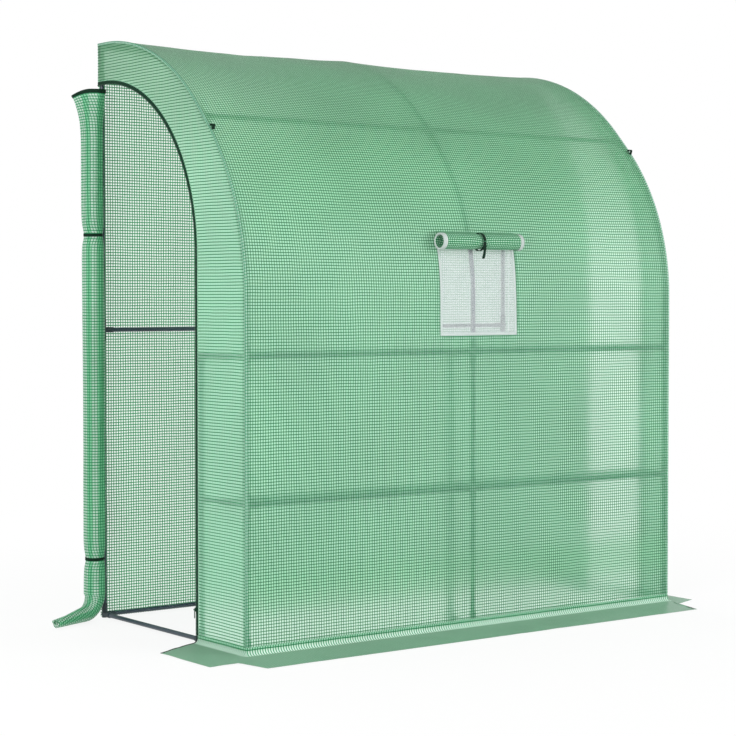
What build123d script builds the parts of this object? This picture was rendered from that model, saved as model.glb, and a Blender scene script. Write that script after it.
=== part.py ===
from build123d import *
import math
import os

# Lean-to tunnel greenhouse: a bent steel tube frame under a sewn film cover.
# X runs along the length, Y from the front to the tall back, Z up from the ground.

# Outside sizes of the covered greenhouse, in millimetres
overall_length = 2000
overall_depth = 1000
overall_height = 2150

# Film cover
film = 1.2
film_gap = 0.3
seam_gap = 0.1

# Steel tubes and the moulded joints that hold their ends
tube_diameter = 16
tube_wall = 0.8
socket_clearance = 0.15
socket_wall = 2
socket_reach = 42
socket_floor = 12
socket_cap = 8
foot_stand = 2
tube_end_gap = 0.3
bend_straight = 44

# Places of the rails
lower_tier_height = 507
upper_tier_drop = 155
back_rail_height = 1084
roof_rail_angle = 43.4

# Shelves
shelf_depth = 127
shelf_end_gap = 4
shelf_lip = 5
shelf_wire = 3
shelf_gap = 0.2
shelf_gaps_along = 24
shelf_gaps_across = 2

# Left doorway and the post beside it
left_strip = 315
left_head_drop = 152
left_arch_radius = 640
left_jamb_inset = 19

# Right doorway
right_strip = 152
right_head_drop = 34
right_arch_radius = 850

# Zips: tape sewn on the end sheet, with a raised rib of teeth at the doorway's edge
tape_width = 11
tape_thickness = 1
rib_width = 4
rib_front = 2.4
rib_back = 1.5
zip_run_gap = 0.3
slider_plate = 1.5
slider_height = 14
slider_rest_height = 110
ear_width = 1.5
ear_reach = 3
pull_eye_radius = 2
pull_pin_radius = 0.9
pull_width = 5
pull_length = 30
pull_thickness = 1.2
pull_side_gap = 0.4

# Right door, standing ajar on its sewn back edge
right_door_ajar = 18
right_hinge_inset = 38
door_bottom = 26
door_edge_gap = 5
door_tape_width = 10
bead_radius = 2.5

# Left door, rolled up outside the back edge and tied, its foot curling out over the ground
roll_radius = 38
roll_top_radius = 41
roll_pinch = 4.5
roll_top_gap = 25
roll_foot = 100
roll_offset_out = 44
roll_offset_front = 40
roll_bulge = 3
roll_wall = 2.4
roll_flare = 120
roll_seam_bottom = 130
roll_seam_drop = 15
upper_tie_drop = 536
lower_tie_height = 232
tie_width = 12
tie_thickness = 1.5
tail_bend = 70
tail_reach = 226
tail_tip_radius = 14
tail_direction = 202.8
ground_gap = 1

# Window in the front, straddling the middle hoop
window_centre = 21
window_width = 352
window_height = 351
window_rise = 262
border_lap = 6
border_thickness = 1
net_lap = 8
net_thickness = 0.8

# Window flap, rolled up on its sewn top edge
flap_radius = 30.5
flap_length = 380
flap_centre = 13
flap_drop = 16
flap_hinge_rise = 21
flap_bead_radius = 2
flap_tie_place = 10
flap_tie_width = 12
flap_tie_tail = 45

# Ground skirt
skirt_fold = 16
skirt_lap = 12
skirt_flat_lap = 10
left_skirt = 205
front_skirt = 225
right_skirt = 95
skirt_notch = 95
front_skirt_lean = 65
side_skirt_lean = 95
right_notch_inset = 45
right_tip_reach = 45

# Guy loops on the corner seams
loop_below_rail = 73
loop_span = 20
loop_stand = 18
loop_strap = 3.5
loop_width = 12
loop_edge_inset = 2

# Derived sizes of the frame
tube_radius = tube_diameter / 2
bore_radius = tube_radius + socket_clearance
socket_radius = bore_radius + socket_wall
tube_inset = socket_floor + tube_end_gap
skin_inner = socket_radius + film_gap
skin_outer = skin_inner + film
half_length = overall_length / 2
front_face = -overall_depth / 2
back_face = overall_depth / 2
hoop_x = half_length - skin_outer
front_y = front_face + skin_outer
back_y = back_face - skin_outer
top_z = overall_height - skin_outer
floor_z = socket_radius + foot_stand
rear_y = front_y + shelf_depth
hoops = (-hoop_x, 0, hoop_x)

# The hoop's bend: two arcs that meet in a short straight run at the roof rail
bend_radius = back_y - front_y
spring_z = top_z - bend_radius
upper_tier_height = spring_z - upper_tier_drop
tiers = (lower_tier_height, upper_tier_height)
roof_angle = math.radians(roof_rail_angle)
low_half_turn = math.tan(roof_angle / 2)
high_half_turn = math.tan((math.pi / 2 - roof_angle) / 2)
low_bend = bend_radius - bend_straight / low_half_turn
high_bend = bend_radius - bend_straight / high_half_turn
low_bend_start = spring_z + bend_straight
roof_y = back_y - bend_radius * math.cos(roof_angle)
roof_z = spring_z + bend_radius * math.sin(roof_angle)

# Window and its flap, placed from where the front starts to bend
window_top = spring_z + window_rise
window_bottom = window_top - window_height
flap_height = window_top - flap_drop
flap_hinge_height = window_top + flap_hinge_rise

# Doorway edges, and where the wall sheets meet the skirt
left_crown = overall_height - left_head_drop
left_arch_spring = left_crown - left_arch_radius
right_arch_spring = overall_height - right_head_drop - right_arch_radius
left_edge = front_face + left_strip
right_edge = front_face + right_strip
jamb_y = left_edge - left_jamb_inset
fold_radius = skirt_fold - film - seam_gap
wall_base = film + fold_radius
lap_top = wall_base + skirt_lap
sheet_back = back_face - film - seam_gap
right_hinge_x = half_length - film / 2
right_hinge_y = back_face - right_hinge_inset
right_doorway_back = right_hinge_y + bead_radius + film_gap

nodes = {}


def keep(name, *pieces):
    """Keeps the solids of one named piece, or of a group of like pieces."""
    nodes[name] = [solid for piece in pieces for solid in piece.solids()]


def low_corner(offset):
    """Corner of the hoop's straight lines below the roof rail, offset outwards."""
    return (front_y - offset, spring_z + (bend_radius + offset) * low_half_turn)


def high_corner(offset):
    """Corner of the hoop's straight lines above the roof rail, offset outwards."""
    return (back_y - (bend_radius + offset) * high_half_turn, top_z + offset)


def skin_line(offset, bottom, back):
    """Line of the front wall and roof, offset outwards from the hoop, in Y and Z."""
    return FilletPolyline(
        (front_y - offset, bottom),
        low_corner(offset),
        high_corner(offset),
        (back, top_z + offset),
        radius=[low_bend + offset, high_bend + offset],
    )


def skin_band(inner, outer):
    """Section of a sheet that follows the front wall and the roof."""
    inside = skin_line(inner, wall_base, sheet_back)
    outside = skin_line(outer, wall_base, sheet_back)
    return make_face(
        [*inside.edges(), *outside.edges(), Line(inside @ 0, outside @ 0), Line(inside @ 1, outside @ 1)]
    )


def wall_y(height, offset):
    """Y of the front wall at a height on its lower bend, offset outwards from the hoop."""
    radius = low_bend + offset
    return front_y + low_bend - math.sqrt(radius**2 - (height - low_bend_start) ** 2)


def rectangle(y_low, y_high, z_low, z_high):
    """A rectangle given by its sides."""
    return Pos((y_low + y_high) / 2, (z_low + z_high) / 2) * Rectangle(y_high - y_low, z_high - z_low)


def along_x(section, x_low, x_high):
    """A section drawn in Y and Z, pulled along X."""
    return extrude(Plane.YZ.offset(x_low) * section, x_high - x_low)


# Steel tubes


def tube_ring():
    """Section of a steel tube."""
    return Circle(tube_radius) - Circle(tube_radius - tube_wall)


def straight_tube(start, end):
    """Tube between two joint centres, short of both by the depth of the socket floors."""
    start = Vector(*start)
    reach = Vector(*end) - start
    direction = reach.normalized()
    place = Plane(origin=start + direction * tube_inset, z_dir=direction)
    return extrude(place * tube_ring(), reach.length - 2 * tube_inset)


def bent_tube(x, start, corner, end, radius):
    """Tube in the plane of a hoop with one bend, between two joint centres given in Y and Z."""
    start = Vector(*start)
    corner = Vector(*corner)
    end = Vector(*end)
    first = start + (corner - start).normalized() * tube_inset
    last = end + (corner - end).normalized() * tube_inset
    path = Plane.YZ.offset(x) * FilletPolyline(first, corner, last, radius=radius)
    section = Plane(origin=path @ 0, z_dir=path % 0) * tube_ring()
    return sweep(section, path=path)


def line_of_rails(y, z):
    """The two tubes of one rail, from the left hoop to the middle and on to the right."""
    return [straight_tube((x, y, z), (x + hoop_x, y, z)) for x in hoops[:2]]


def uprights(y, low, high):
    """One upright tube at each hoop."""
    return [straight_tube((x, y, low), (x, y, high)) for x in hoops]


keep("front_post_lower", *uprights(front_y, floor_z, lower_tier_height))
keep("front_post_upper", *uprights(front_y, lower_tier_height, upper_tier_height))
keep(
    "hoop_bend_lower",
    *[
        bent_tube(x, (front_y, upper_tier_height), low_corner(0), (roof_y, roof_z), low_bend)
        for x in hoops
    ],
)
keep(
    "hoop_bend_upper",
    *[bent_tube(x, (roof_y, roof_z), high_corner(0), (back_y, top_z), high_bend) for x in hoops],
)
keep("back_post_upper", *uprights(back_y, back_rail_height, top_z))
keep("back_post_lower", *uprights(back_y, floor_z, back_rail_height))

keep("front_floor_rails", *line_of_rails(front_y, floor_z))
keep("lower_tier_front_rails", *line_of_rails(front_y, lower_tier_height))
keep("upper_tier_front_rails", *line_of_rails(front_y, upper_tier_height))
keep("lower_tier_rear_rails", *line_of_rails(rear_y, lower_tier_height))
keep("upper_tier_rear_rails", *line_of_rails(rear_y, upper_tier_height))
keep("roof_rails", *line_of_rails(roof_y, roof_z))
keep("ridge_rails", *line_of_rails(back_y, top_z))
keep("back_middle_rails", *line_of_rails(back_y, back_rail_height))
keep("back_floor_rails", *line_of_rails(back_y, floor_z))


def chain(points):
    """Tubes from each joint centre to the next."""
    return [straight_tube(start, end) for start, end in zip(points, points[1:])]


def cross_line(x, z, places):
    """Joint centres along Y at one hoop and height."""
    return [(x, y, z) for y in places]


def upright_line(x, y):
    """Joint centres of an upright that reaches from the ground to the upper tier."""
    return [(x, y, z) for z in (floor_z, *tiers)]


keep("left_end_floor_rails", *chain(cross_line(-hoop_x, floor_z, (front_y, jamb_y, back_y))))
keep("right_end_floor_rails", *chain(cross_line(hoop_x, floor_z, (front_y, rear_y, back_y))))
keep("middle_floor_bar", *chain(cross_line(0, floor_z, (front_y, rear_y))))
keep("left_jamb_post", *chain(upright_line(-hoop_x, jamb_y)))
keep("middle_shelf_leg", *chain(upright_line(0, rear_y)))
keep("right_jamb_post", *chain(upright_line(hoop_x, rear_y)))
keep(
    "left_shelf_side_bars",
    *[bar for tier in tiers for bar in chain(cross_line(-hoop_x, tier, (front_y, rear_y, jamb_y)))],
)
keep(
    "middle_shelf_side_bars",
    *[bar for tier in tiers for bar in chain(cross_line(0, tier, (front_y, rear_y)))],
)
keep(
    "right_shelf_side_bars",
    *[bar for tier in tiers for bar in chain(cross_line(hoop_x, tier, (front_y, rear_y)))],
)

# Moulded tube joints

left_way = Vector(-1, 0, 0)
right_way = Vector(1, 0, 0)
front_way = Vector(0, -1, 0)
back_way = Vector(0, 1, 0)
up_way = Vector(0, 0, 1)
down_way = Vector(0, 0, -1)
length_ways = {-hoop_x: [right_way], 0: [left_way, right_way], hoop_x: [left_way]}


def tube_joint(centre, ways, foot=False):
    """Moulded joint with a socket along each way, closed behind where no tube goes on."""
    body = Part()
    for way in ways:
        goes_on = any((way + other).length < 1 for other in ways)
        behind = socket_reach if goes_on else socket_cap
        if foot and way == up_way:
            behind = floor_z
        if goes_on and way in (left_way, front_way, down_way):
            continue
        body += extrude(Plane(origin=way * -behind, z_dir=way) * Circle(socket_radius), socket_reach + behind)
    for way in ways:
        bore = Plane(origin=way * socket_floor, z_dir=way) * Circle(bore_radius)
        body -= extrude(bore, socket_reach - socket_floor)
    return Pos(*centre) * body


def hoop_joints(y, z, ways, foot=False):
    """One joint at each hoop, with sockets along the length and the ways given."""
    return [tube_joint((x, y, z), [*ways, *length_ways[x]], foot) for x in hoops]


keep("front_feet", *hoop_joints(front_y, floor_z, [up_way, back_way], True))
keep(
    "back_feet",
    tube_joint((-hoop_x, back_y, floor_z), [up_way, front_way, right_way], True),
    tube_joint((0, back_y, floor_z), [up_way, left_way, right_way], True),
    tube_joint((hoop_x, back_y, floor_z), [up_way, front_way, left_way], True),
)
keep(
    "upright_feet",
    tube_joint((-hoop_x, jamb_y, floor_z), [up_way, front_way, back_way], True),
    tube_joint((0, rear_y, floor_z), [up_way, front_way], True),
    tube_joint((hoop_x, rear_y, floor_z), [up_way, front_way, back_way], True),
)
keep(
    "front_tier_joints",
    *[joint for tier in tiers for joint in hoop_joints(front_y, tier, [up_way, down_way, back_way])],
)
upright_ways = {lower_tier_height: [up_way, down_way], upper_tier_height: [down_way]}
keep(
    "rear_tier_joints",
    *[
        tube_joint((x, rear_y, tier), [*upright_ways[tier], front_way, *length_ways[x]])
        for tier in tiers
        for x in hoops[1:]
    ],
)
keep(
    "left_bar_tees",
    *[tube_joint((-hoop_x, rear_y, tier), [front_way, back_way, right_way]) for tier in tiers],
)
keep(
    "left_jamb_joints",
    *[tube_joint((-hoop_x, jamb_y, tier), [*upright_ways[tier], front_way]) for tier in tiers],
)
roof_seat = Pos(0, roof_y, roof_z) * Rot(-roof_rail_angle, 0, 0)
keep("roof_rail_joints", *[roof_seat * joint for joint in hoop_joints(0, 0, [up_way, down_way])])
keep("ridge_joints", *hoop_joints(back_y, top_z, [front_way, down_way]))
keep("back_middle_joints", *hoop_joints(back_y, back_rail_height, [up_way, down_way]))

# Wire shelves, lying on the front and rear rails of each tier


def wire_shelf(x_low, x_high, tier):
    """Welded wire shelf: a rim and rows of wires with open gaps between them."""
    length = x_high - x_low
    depth = shelf_depth + 2 * shelf_lip
    step_along = (length - shelf_wire) / shelf_gaps_along
    step_across = (depth - shelf_wire) / shelf_gaps_across
    gaps = GridLocations(step_along, step_across, shelf_gaps_along, shelf_gaps_across) * Rectangle(
        step_along - shelf_wire, step_across - shelf_wire
    )
    deck = Rectangle(length, depth) - gaps
    middle_y = front_y + shelf_depth / 2
    base = tier + tube_radius + shelf_gap
    return extrude(Pos((x_low + x_high) / 2, middle_y, base) * deck, shelf_wire)


shelf_inset = socket_reach + shelf_end_gap
for tier_name, tier in zip(("lower", "upper"), tiers):
    for bay_name, x in zip(("left", "right"), hoops):
        shelf = wire_shelf(x + shelf_inset, x + hoop_x - shelf_inset, tier)
        keep(f"{bay_name}_{tier_name}_wire_shelf", shelf)

# Film cover

front_roof = along_x(skin_band(skin_inner, skin_outer), -half_length, half_length)
window_left = window_centre - window_width / 2
window_right = window_centre + window_width / 2


def window_zone(lap):
    """Block through the front wall over the window, wider than it by a lap all round."""
    section = rectangle(2 * front_face, 0, window_bottom - lap, window_top + lap)
    return along_x(section, window_left - lap, window_right + lap)


keep("front_roof_sheet", front_roof - window_zone(0))
border_sheet = along_x(
    skin_band(skin_outer + seam_gap, skin_outer + seam_gap + border_thickness), -half_length, half_length
)
keep("window_border", (border_sheet & window_zone(border_lap)) - window_zone(-border_lap))
net_sheet = along_x(
    skin_band(skin_inner - seam_gap - net_thickness, skin_inner - seam_gap), -half_length, half_length
)
keep("window_net", net_sheet & window_zone(net_lap))
keep("back_sheet", along_x(rectangle(back_face - film, back_face, 0, overall_height), -half_length, half_length))


def doorway(edge, spring, radius, back, lap=0):
    """Doorway outline: straight front edge, arch, straight top to the back, grown by a lap."""
    front = edge - lap
    arch = radius + lap
    crown = spring + arch
    arch_end = front + arch
    bottom = -overall_height
    if arch_end < back:
        rim = [
            Line((front, bottom), (front, spring)),
            RadiusArc((front, spring), (arch_end, crown), arch),
            Line((arch_end, crown), (back, crown)),
            Line((back, crown), (back, bottom)),
        ]
    else:
        crown = spring + math.sqrt(arch**2 - (arch_end - back) ** 2)
        rim = [
            Line((front, bottom), (front, spring)),
            RadiusArc((front, spring), (back, crown), arch),
            Line((back, crown), (back, bottom)),
        ]
    return make_face([*rim, Line((back, bottom), (front, bottom))])


def left_doorway(lap=0):
    return doorway(left_edge, left_arch_spring, left_arch_radius, overall_depth, lap)


def right_doorway(lap=0, back=right_doorway_back):
    return doorway(right_edge, right_arch_spring, right_arch_radius, back, lap)


def end_outline():
    """Outline of an end sheet inside the front, roof and back sheets."""
    rim = skin_line(skin_inner - seam_gap, 0, sheet_back)
    corner = (sheet_back, 0)
    return make_face([*rim.edges(), Line(rim @ 1, corner), Line(corner, rim @ 0)])


def skirt_zone(edge):
    """Foot of an end sheet's front strip, where the skirt's fold takes over."""
    return rectangle(2 * front_face, edge, -skirt_fold, wall_base)


left_end = end_outline() - left_doorway() - skirt_zone(left_edge)
right_end = end_outline() - right_doorway() - skirt_zone(right_edge)
keep("left_end_sheet", along_x(left_end, -half_length, film - half_length))
keep("right_end_sheet", along_x(right_end, half_length - film, half_length))

# Zips, sewn on the outside of the end sheets along the doorways


def zip_track(opening, side, back):
    """Zip tape with its rib of teeth, along a doorway's front edge and arch."""
    clip = rectangle(front_face, back, lap_top + film_gap, overall_height)
    tape = (opening(tape_width) - opening(-rib_width / 2)) & clip & end_outline()
    rib = (opening(-zip_run_gap) - opening(-rib_width)) & clip & end_outline()
    face = side * half_length
    tape_solid = along_x(tape, face + side * seam_gap, face + side * (seam_gap + tape_thickness))
    rib_solid = along_x(rib, face - side * rib_back, face + side * rib_front)
    return tape_solid + rib_solid


keep("left_zip", zip_track(left_doorway, -1, sheet_back))
keep("right_zip", zip_track(right_doorway, 1, right_doorway_back))

slider_front = rib_front + zip_run_gap + slider_plate
slider_web_start = rib_width + zip_run_gap
slider_far = slider_web_start + slider_plate
pull_axis_out = slider_front + pull_eye_radius + pull_side_gap
pull_middle = slider_far / 2
ear_offset = pull_width / 2 + pull_side_gap + ear_width / 2


def out_from(side, low, high):
    """Middle and width in X of a piece that lies between two distances out from an end sheet."""
    return side * (half_length + (low + high) / 2), abs(high - low)


def block(side, out_low, out_high, y_low, y_high, z_low, z_high):
    """Box beside an end sheet, given by its distances out from the sheet and its sides."""
    x, width = out_from(side, out_low, out_high)
    place = Pos(x, (y_low + y_high) / 2, (z_low + z_high) / 2)
    return place * Box(width, y_high - y_low, z_high - z_low)


def zip_slider(side, edge):
    """Slider: two plates round the rib, a web, and two ears with a pin for the pull tab."""
    low = slider_rest_height
    high = low + slider_height
    pin_z = low + slider_height / 2
    rib_behind = rib_back + zip_run_gap
    half_width = ear_offset + ear_width / 2
    body = block(
        side,
        rib_front + zip_run_gap,
        slider_front,
        edge + pull_middle - half_width,
        edge + pull_middle + half_width,
        low,
        high,
    )
    body += block(side, -rib_behind - slider_plate, -rib_behind, edge, edge + slider_far, low, high)
    body += block(side, -rib_behind, slider_front, edge + slider_web_start, edge + slider_far, low, high)
    for step in (-ear_offset, ear_offset):
        middle = edge + pull_middle + step
        ear_front = pull_axis_out + pull_pin_radius + ear_width / 2
        body += block(
            side,
            slider_front,
            ear_front,
            middle - ear_width / 2,
            middle + ear_width / 2,
            pin_z - ear_reach,
            pin_z + ear_reach,
        )
    pin = Plane(
        origin=(side * (half_length + pull_axis_out), edge + pull_middle - ear_offset, pin_z), z_dir=back_way
    )
    body += extrude(pin * Circle(pull_pin_radius), 2 * ear_offset)
    return body


def zip_pull(side, edge):
    """Pull tab hanging from the slider's pin by a round eye."""
    pin_z = slider_rest_height + slider_height / 2
    x = side * (half_length + pull_axis_out)
    y_low = edge + pull_middle - pull_width / 2
    y_high = y_low + pull_width
    eye = Plane(origin=(x, y_low, pin_z), z_dir=back_way)
    half = pull_thickness / 2
    body = extrude(eye * Circle(pull_eye_radius), pull_width)
    body += block(side, pull_axis_out - half, pull_axis_out + half, y_low, y_high, pin_z - pull_length, pin_z)
    return body - extrude(eye * Circle(pull_pin_radius + zip_run_gap), pull_width)


keep("left_zip_slider", zip_slider(-1, left_edge))
keep("left_zip_pull", zip_pull(-1, left_edge))
keep("right_zip_slider", zip_slider(1, right_edge))
keep("right_zip_pull", zip_pull(1, right_edge))

# Right door: a film leaf on a round hem, with its own half of the zip, turned ajar

leaf_gap = rib_width + door_edge_gap
hinge_line = Axis((right_hinge_x, right_hinge_y, 0), (0, 0, 1))
leaf_zone = rectangle(front_face, right_hinge_y, door_bottom, overall_height)
leaf_face = right_doorway(-leaf_gap, right_hinge_y) & leaf_zone
leaf_top = leaf_face.bounding_box().max.Y
hem = Pos(right_hinge_x, right_hinge_y, door_bottom) * extrude(Circle(bead_radius), leaf_top - door_bottom)
leaf = along_x(leaf_face, half_length - film, half_length) + hem
leaf_tape_inner = right_doorway(-leaf_gap - door_tape_width, right_hinge_y)
leaf_tape_zone = rectangle(front_face, right_hinge_y - bead_radius - film_gap, door_bottom, overall_height)
leaf_tape = (leaf_face - leaf_tape_inner) & leaf_tape_zone
leaf_zip = along_x(leaf_tape, half_length + seam_gap, half_length + seam_gap + tape_thickness)
keep("right_door", leaf.rotate(hinge_line, -right_door_ajar))
keep("right_door_zip", leaf_zip.rotate(hinge_line, -right_door_ajar))

# Left door: rolled up on its sewn edge, tied twice, with its foot curling out over the ground

left_hem_x = -half_length - film_gap - bead_radius
left_hem_y = back_face - bead_radius
roll_top = left_crown - roll_top_gap
roll_seam_top = roll_top - roll_seam_drop
tie_heights = (roll_top - upper_tie_drop, lower_tie_height)
roll_x = left_hem_x - roll_offset_out
roll_y = left_hem_y - roll_offset_front
tail_angle = math.radians(tail_direction)
tail_way = Vector(math.cos(tail_angle), math.sin(tail_angle), 0)
tail_side = Vector(-math.sin(tail_angle), math.cos(tail_angle), 0)
tail_root_radius = roll_foot - tail_bend - ground_gap


def roll_section(out, height, lean, radius):
    """Round section of the roll, out along the tail and leaning from upright by some degrees."""
    turn = math.radians(lean)
    normal = up_way * math.cos(turn) - tail_way * math.sin(turn)
    middle = Vector(roll_x, roll_y, height) + tail_way * out
    return Plane(origin=middle, x_dir=tail_side, z_dir=normal) * Circle(radius)


def roll_outline(inset, top, bottom):
    """Half section of the upright roll, drawn from its axis, smaller all round by an inset."""
    full = roll_radius - inset
    groove = full - roll_pinch
    rim = [Line((0, top), (roll_top_radius - inset, top))]
    rim.append(Line(rim[-1] @ 1, (full, roll_top - roll_flare)))
    for tie in tie_heights:
        start = rim[-1] @ 1
        above = (full, tie + 2 * tie_width)
        rim.append(ThreePointArc(start, (full + roll_bulge, (start.Y + above[1]) / 2), above))
        rim.append(
            Polyline(
                above,
                (groove, tie + tie_width / 2 + film_gap),
                (groove, tie - tie_width / 2 - film_gap),
                (full, tie - 2 * tie_width),
            )
        )
    rim.append(Line(rim[-1] @ 1, (full, bottom)))
    rim.append(Line((full, bottom), (0, bottom)))
    rim.append(Line((0, bottom), (0, top)))
    return make_face([edge for line in rim for edge in line.edges()])


roll_stand = Plane(origin=(roll_x, roll_y, 0), x_dir=right_way, z_dir=front_way)
roll_axis = Axis((roll_x, roll_y, 0), (0, 0, 1))
roll = revolve(roll_stand * roll_outline(0, roll_top, roll_foot), roll_axis)
roll_core = revolve(roll_stand * roll_outline(roll_wall, roll_top + roll_wall, roll_foot + roll_wall), roll_axis)

tail_sections = []
for lean in (0, 22.5, 45, 67.5, 90):
    turn = math.radians(lean)
    out = tail_bend * (1 - math.cos(turn))
    height = roll_foot - tail_bend * math.sin(turn)
    radius = roll_radius + (tail_root_radius - roll_radius) * lean / 90
    tail_sections.append(roll_section(out, height, lean, radius))
for part in (0.5, 1):
    out = tail_bend + (tail_reach - tail_bend) * part
    radius = tail_root_radius + (tail_tip_radius - tail_root_radius) * part
    tail_sections.append(roll_section(out, radius + ground_gap, 90, radius))
roll += loft(tail_sections, ruled=True)

left_hem = Pos(left_hem_x, left_hem_y, roll_seam_bottom) * extrude(
    Circle(bead_radius), roll_seam_top - roll_seam_bottom
)
seam_reach = math.hypot(roll_offset_out, roll_offset_front)
seam_turn = math.degrees(math.atan2(roll_offset_front, roll_offset_out))
seam_middle = Pos((left_hem_x + roll_x) / 2, (left_hem_y + roll_y) / 2, (roll_seam_bottom + roll_seam_top) / 2)
seam_web = seam_middle * Rot(0, 0, seam_turn) * Box(seam_reach, film, roll_seam_top - roll_seam_bottom)
tie_slot = tie_width + 2 * film_gap
for tie in tie_heights:
    seam_web -= Pos(seam_middle.position.X, seam_middle.position.Y, tie) * Box(
        2 * seam_reach, 2 * seam_reach, tie_slot
    )
keep("left_door_roll", roll + seam_web + left_hem - roll_core)


def roll_tie(height):
    """Flat tie round the pinched roll."""
    inner = roll_radius - roll_pinch + film_gap
    band = Circle(inner + tie_thickness) - Circle(inner)
    return extrude(Pos(roll_x, roll_y, height - tie_width / 2) * band, tie_width)


keep("left_door_ties", *[roll_tie(height) for height in tie_heights])

# Window flap: rolled up on its sewn top edge above the net, held by one tie

flap_hinge_offset = skin_outer + film_gap + flap_bead_radius
flap_offset = skin_outer + seam_gap + border_thickness + 2 * film_gap + tie_thickness + flap_radius
flap_hinge_y = wall_y(flap_hinge_height, flap_hinge_offset)
flap_y = wall_y(flap_height, flap_offset)
flap_left = flap_centre - flap_length / 2
flap_right = flap_left + flap_length
flap_roll = along_x(Pos(flap_y, flap_height) * Circle(flap_radius), flap_left, flap_right)
flap_core = along_x(Pos(flap_y, flap_height) * Circle(flap_radius - roll_wall), flap_left, flap_right)
flap_hem = along_x(Pos(flap_hinge_y, flap_hinge_height) * Circle(flap_bead_radius), flap_left, flap_right)
web_run = Vector(flap_y - flap_hinge_y, flap_height - flap_hinge_height)
web_turn = math.degrees(math.atan2(web_run.Y, web_run.X))
web_middle = Pos((flap_y + flap_hinge_y) / 2, (flap_height + flap_hinge_height) / 2)
flap_web_section = web_middle * Rot(0, 0, web_turn) * Rectangle(web_run.length, film)
tie_left = flap_tie_place - flap_tie_width / 2
tie_right = flap_tie_place + flap_tie_width / 2
flap_web = along_x(flap_web_section, flap_left, tie_left - film_gap)
flap_web += along_x(flap_web_section, tie_right + film_gap, flap_right)
keep("window_flap", flap_roll + flap_hem + flap_web - flap_core)

tie_inner = flap_radius + film_gap
tie_outer = tie_inner + tie_thickness
tie_band = Pos(flap_y, flap_height) * (Circle(tie_outer) - Circle(tie_inner))
tie_tail = rectangle(
    flap_y - tie_outer,
    flap_y - tie_inner,
    flap_height - flap_tie_tail,
    flap_height,
)
keep("window_flap_tie", along_x(tie_band + tie_tail, tie_left, tie_right))

# Ground skirt: lapped on the foot of the walls, folds out and lies on the ground


def fold_arc(radius):
    """Quarter arc of the skirt's fold, from the ground up to the wall."""
    centre = Vector(0, film + fold_radius)
    middle = centre + Vector(radius, -radius) * math.sqrt(0.5)
    return ThreePointArc(centre + Vector(0, -radius), middle, centre + Vector(radius, 0))


hidden_arc = fold_arc(fold_radius + film)
shown_arc = fold_arc(fold_radius)
fold_section = make_face(
    [
        hidden_arc,
        shown_arc,
        *Polyline(hidden_arc @ 1, (fold_radius + film, lap_top), (fold_radius, lap_top), shown_arc @ 1).edges(),
        *Polyline(hidden_arc @ 0, (-skirt_flat_lap, 0), (-skirt_flat_lap, film), shown_arc @ 0).edges(),
    ]
)
fold_left = -half_length - skirt_fold
fold_right = half_length + skirt_fold
fold_front = front_face - skirt_fold
skirt_front = front_face - front_skirt
notch_y = front_face - skirt_notch
fold_line = FilletPolyline(
    (fold_left, left_edge),
    (fold_left, fold_front),
    (fold_right, fold_front),
    (fold_right, right_edge),
    radius=skirt_fold,
)
fold_start = Plane(origin=(fold_left, left_edge, 0), x_dir=right_way, z_dir=front_way)
skirt_fold_sheet = sweep(fold_start * fold_section, path=fold_line)
skirt_outline = Polyline(
    (fold_left, left_edge),
    (-half_length - left_skirt, left_edge - side_skirt_lean),
    (-half_length - left_skirt, notch_y),
    (-half_length - skirt_notch, notch_y),
    (-half_length - front_skirt_lean, skirt_front),
    (half_length - front_skirt_lean, skirt_front),
    (half_length - right_notch_inset, notch_y),
    (half_length + right_skirt, front_face - right_tip_reach),
    (half_length + right_skirt, right_edge),
    (fold_right, right_edge),
)
ground_sheet = extrude(make_face([*skirt_outline.edges(), *fold_line.edges()]), film)
keep("ground_skirt", ground_sheet + skirt_fold_sheet)

# Guy loops: webbing loops on the corner seams, on the bend below the roof rail

loop_turn = roof_angle - (loop_below_rail - bend_straight) / low_bend
loop_up = Vector(0, math.sin(loop_turn), math.cos(loop_turn))
loop_out = Vector(0, -math.cos(loop_turn), math.sin(loop_turn))
loop_seat = Vector(0, front_y + low_bend, low_bend_start) + loop_out * (low_bend + skin_outer + seam_gap)
loop_ring = Rectangle(loop_span, loop_stand) - Rectangle(loop_span - 2 * loop_strap, loop_stand - 2 * loop_strap)


def guy_loop(x):
    """Webbing loop that stands out from the film, open along the length."""
    seat = Plane(origin=loop_seat + Vector(x, 0, 0), x_dir=loop_up, z_dir=right_way)
    lift = loop_stand / 2 if seat.y_dir.dot(loop_out) > 0 else -loop_stand / 2
    return extrude(seat * Pos(0, lift) * loop_ring, loop_width)


keep(
    "guy_loops",
    guy_loop(loop_edge_inset - half_length),
    guy_loop(half_length - loop_edge_inset - loop_width),
)

# The origin is on the ground, in the middle of the area that the whole object covers

whole = Compound([solid for solids in nodes.values() for solid in solids]).bounding_box()
middle_x = (whole.min.X + whole.max.X) / 2
middle_y = (whole.min.Y + whole.max.Y) / 2
to_origin = Pos(-middle_x, -middle_y, 0)
print("origin moved by", round(-middle_x, 3), round(-middle_y, 3), "lowest", round(whole.min.Z, 4))

os.makedirs("parts", exist_ok=True)
for name, solids in nodes.items():
    export_step(Compound([to_origin * solid for solid in solids]), f"parts/{name}.step")
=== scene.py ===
import math

import bpy
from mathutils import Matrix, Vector, noise


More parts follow.
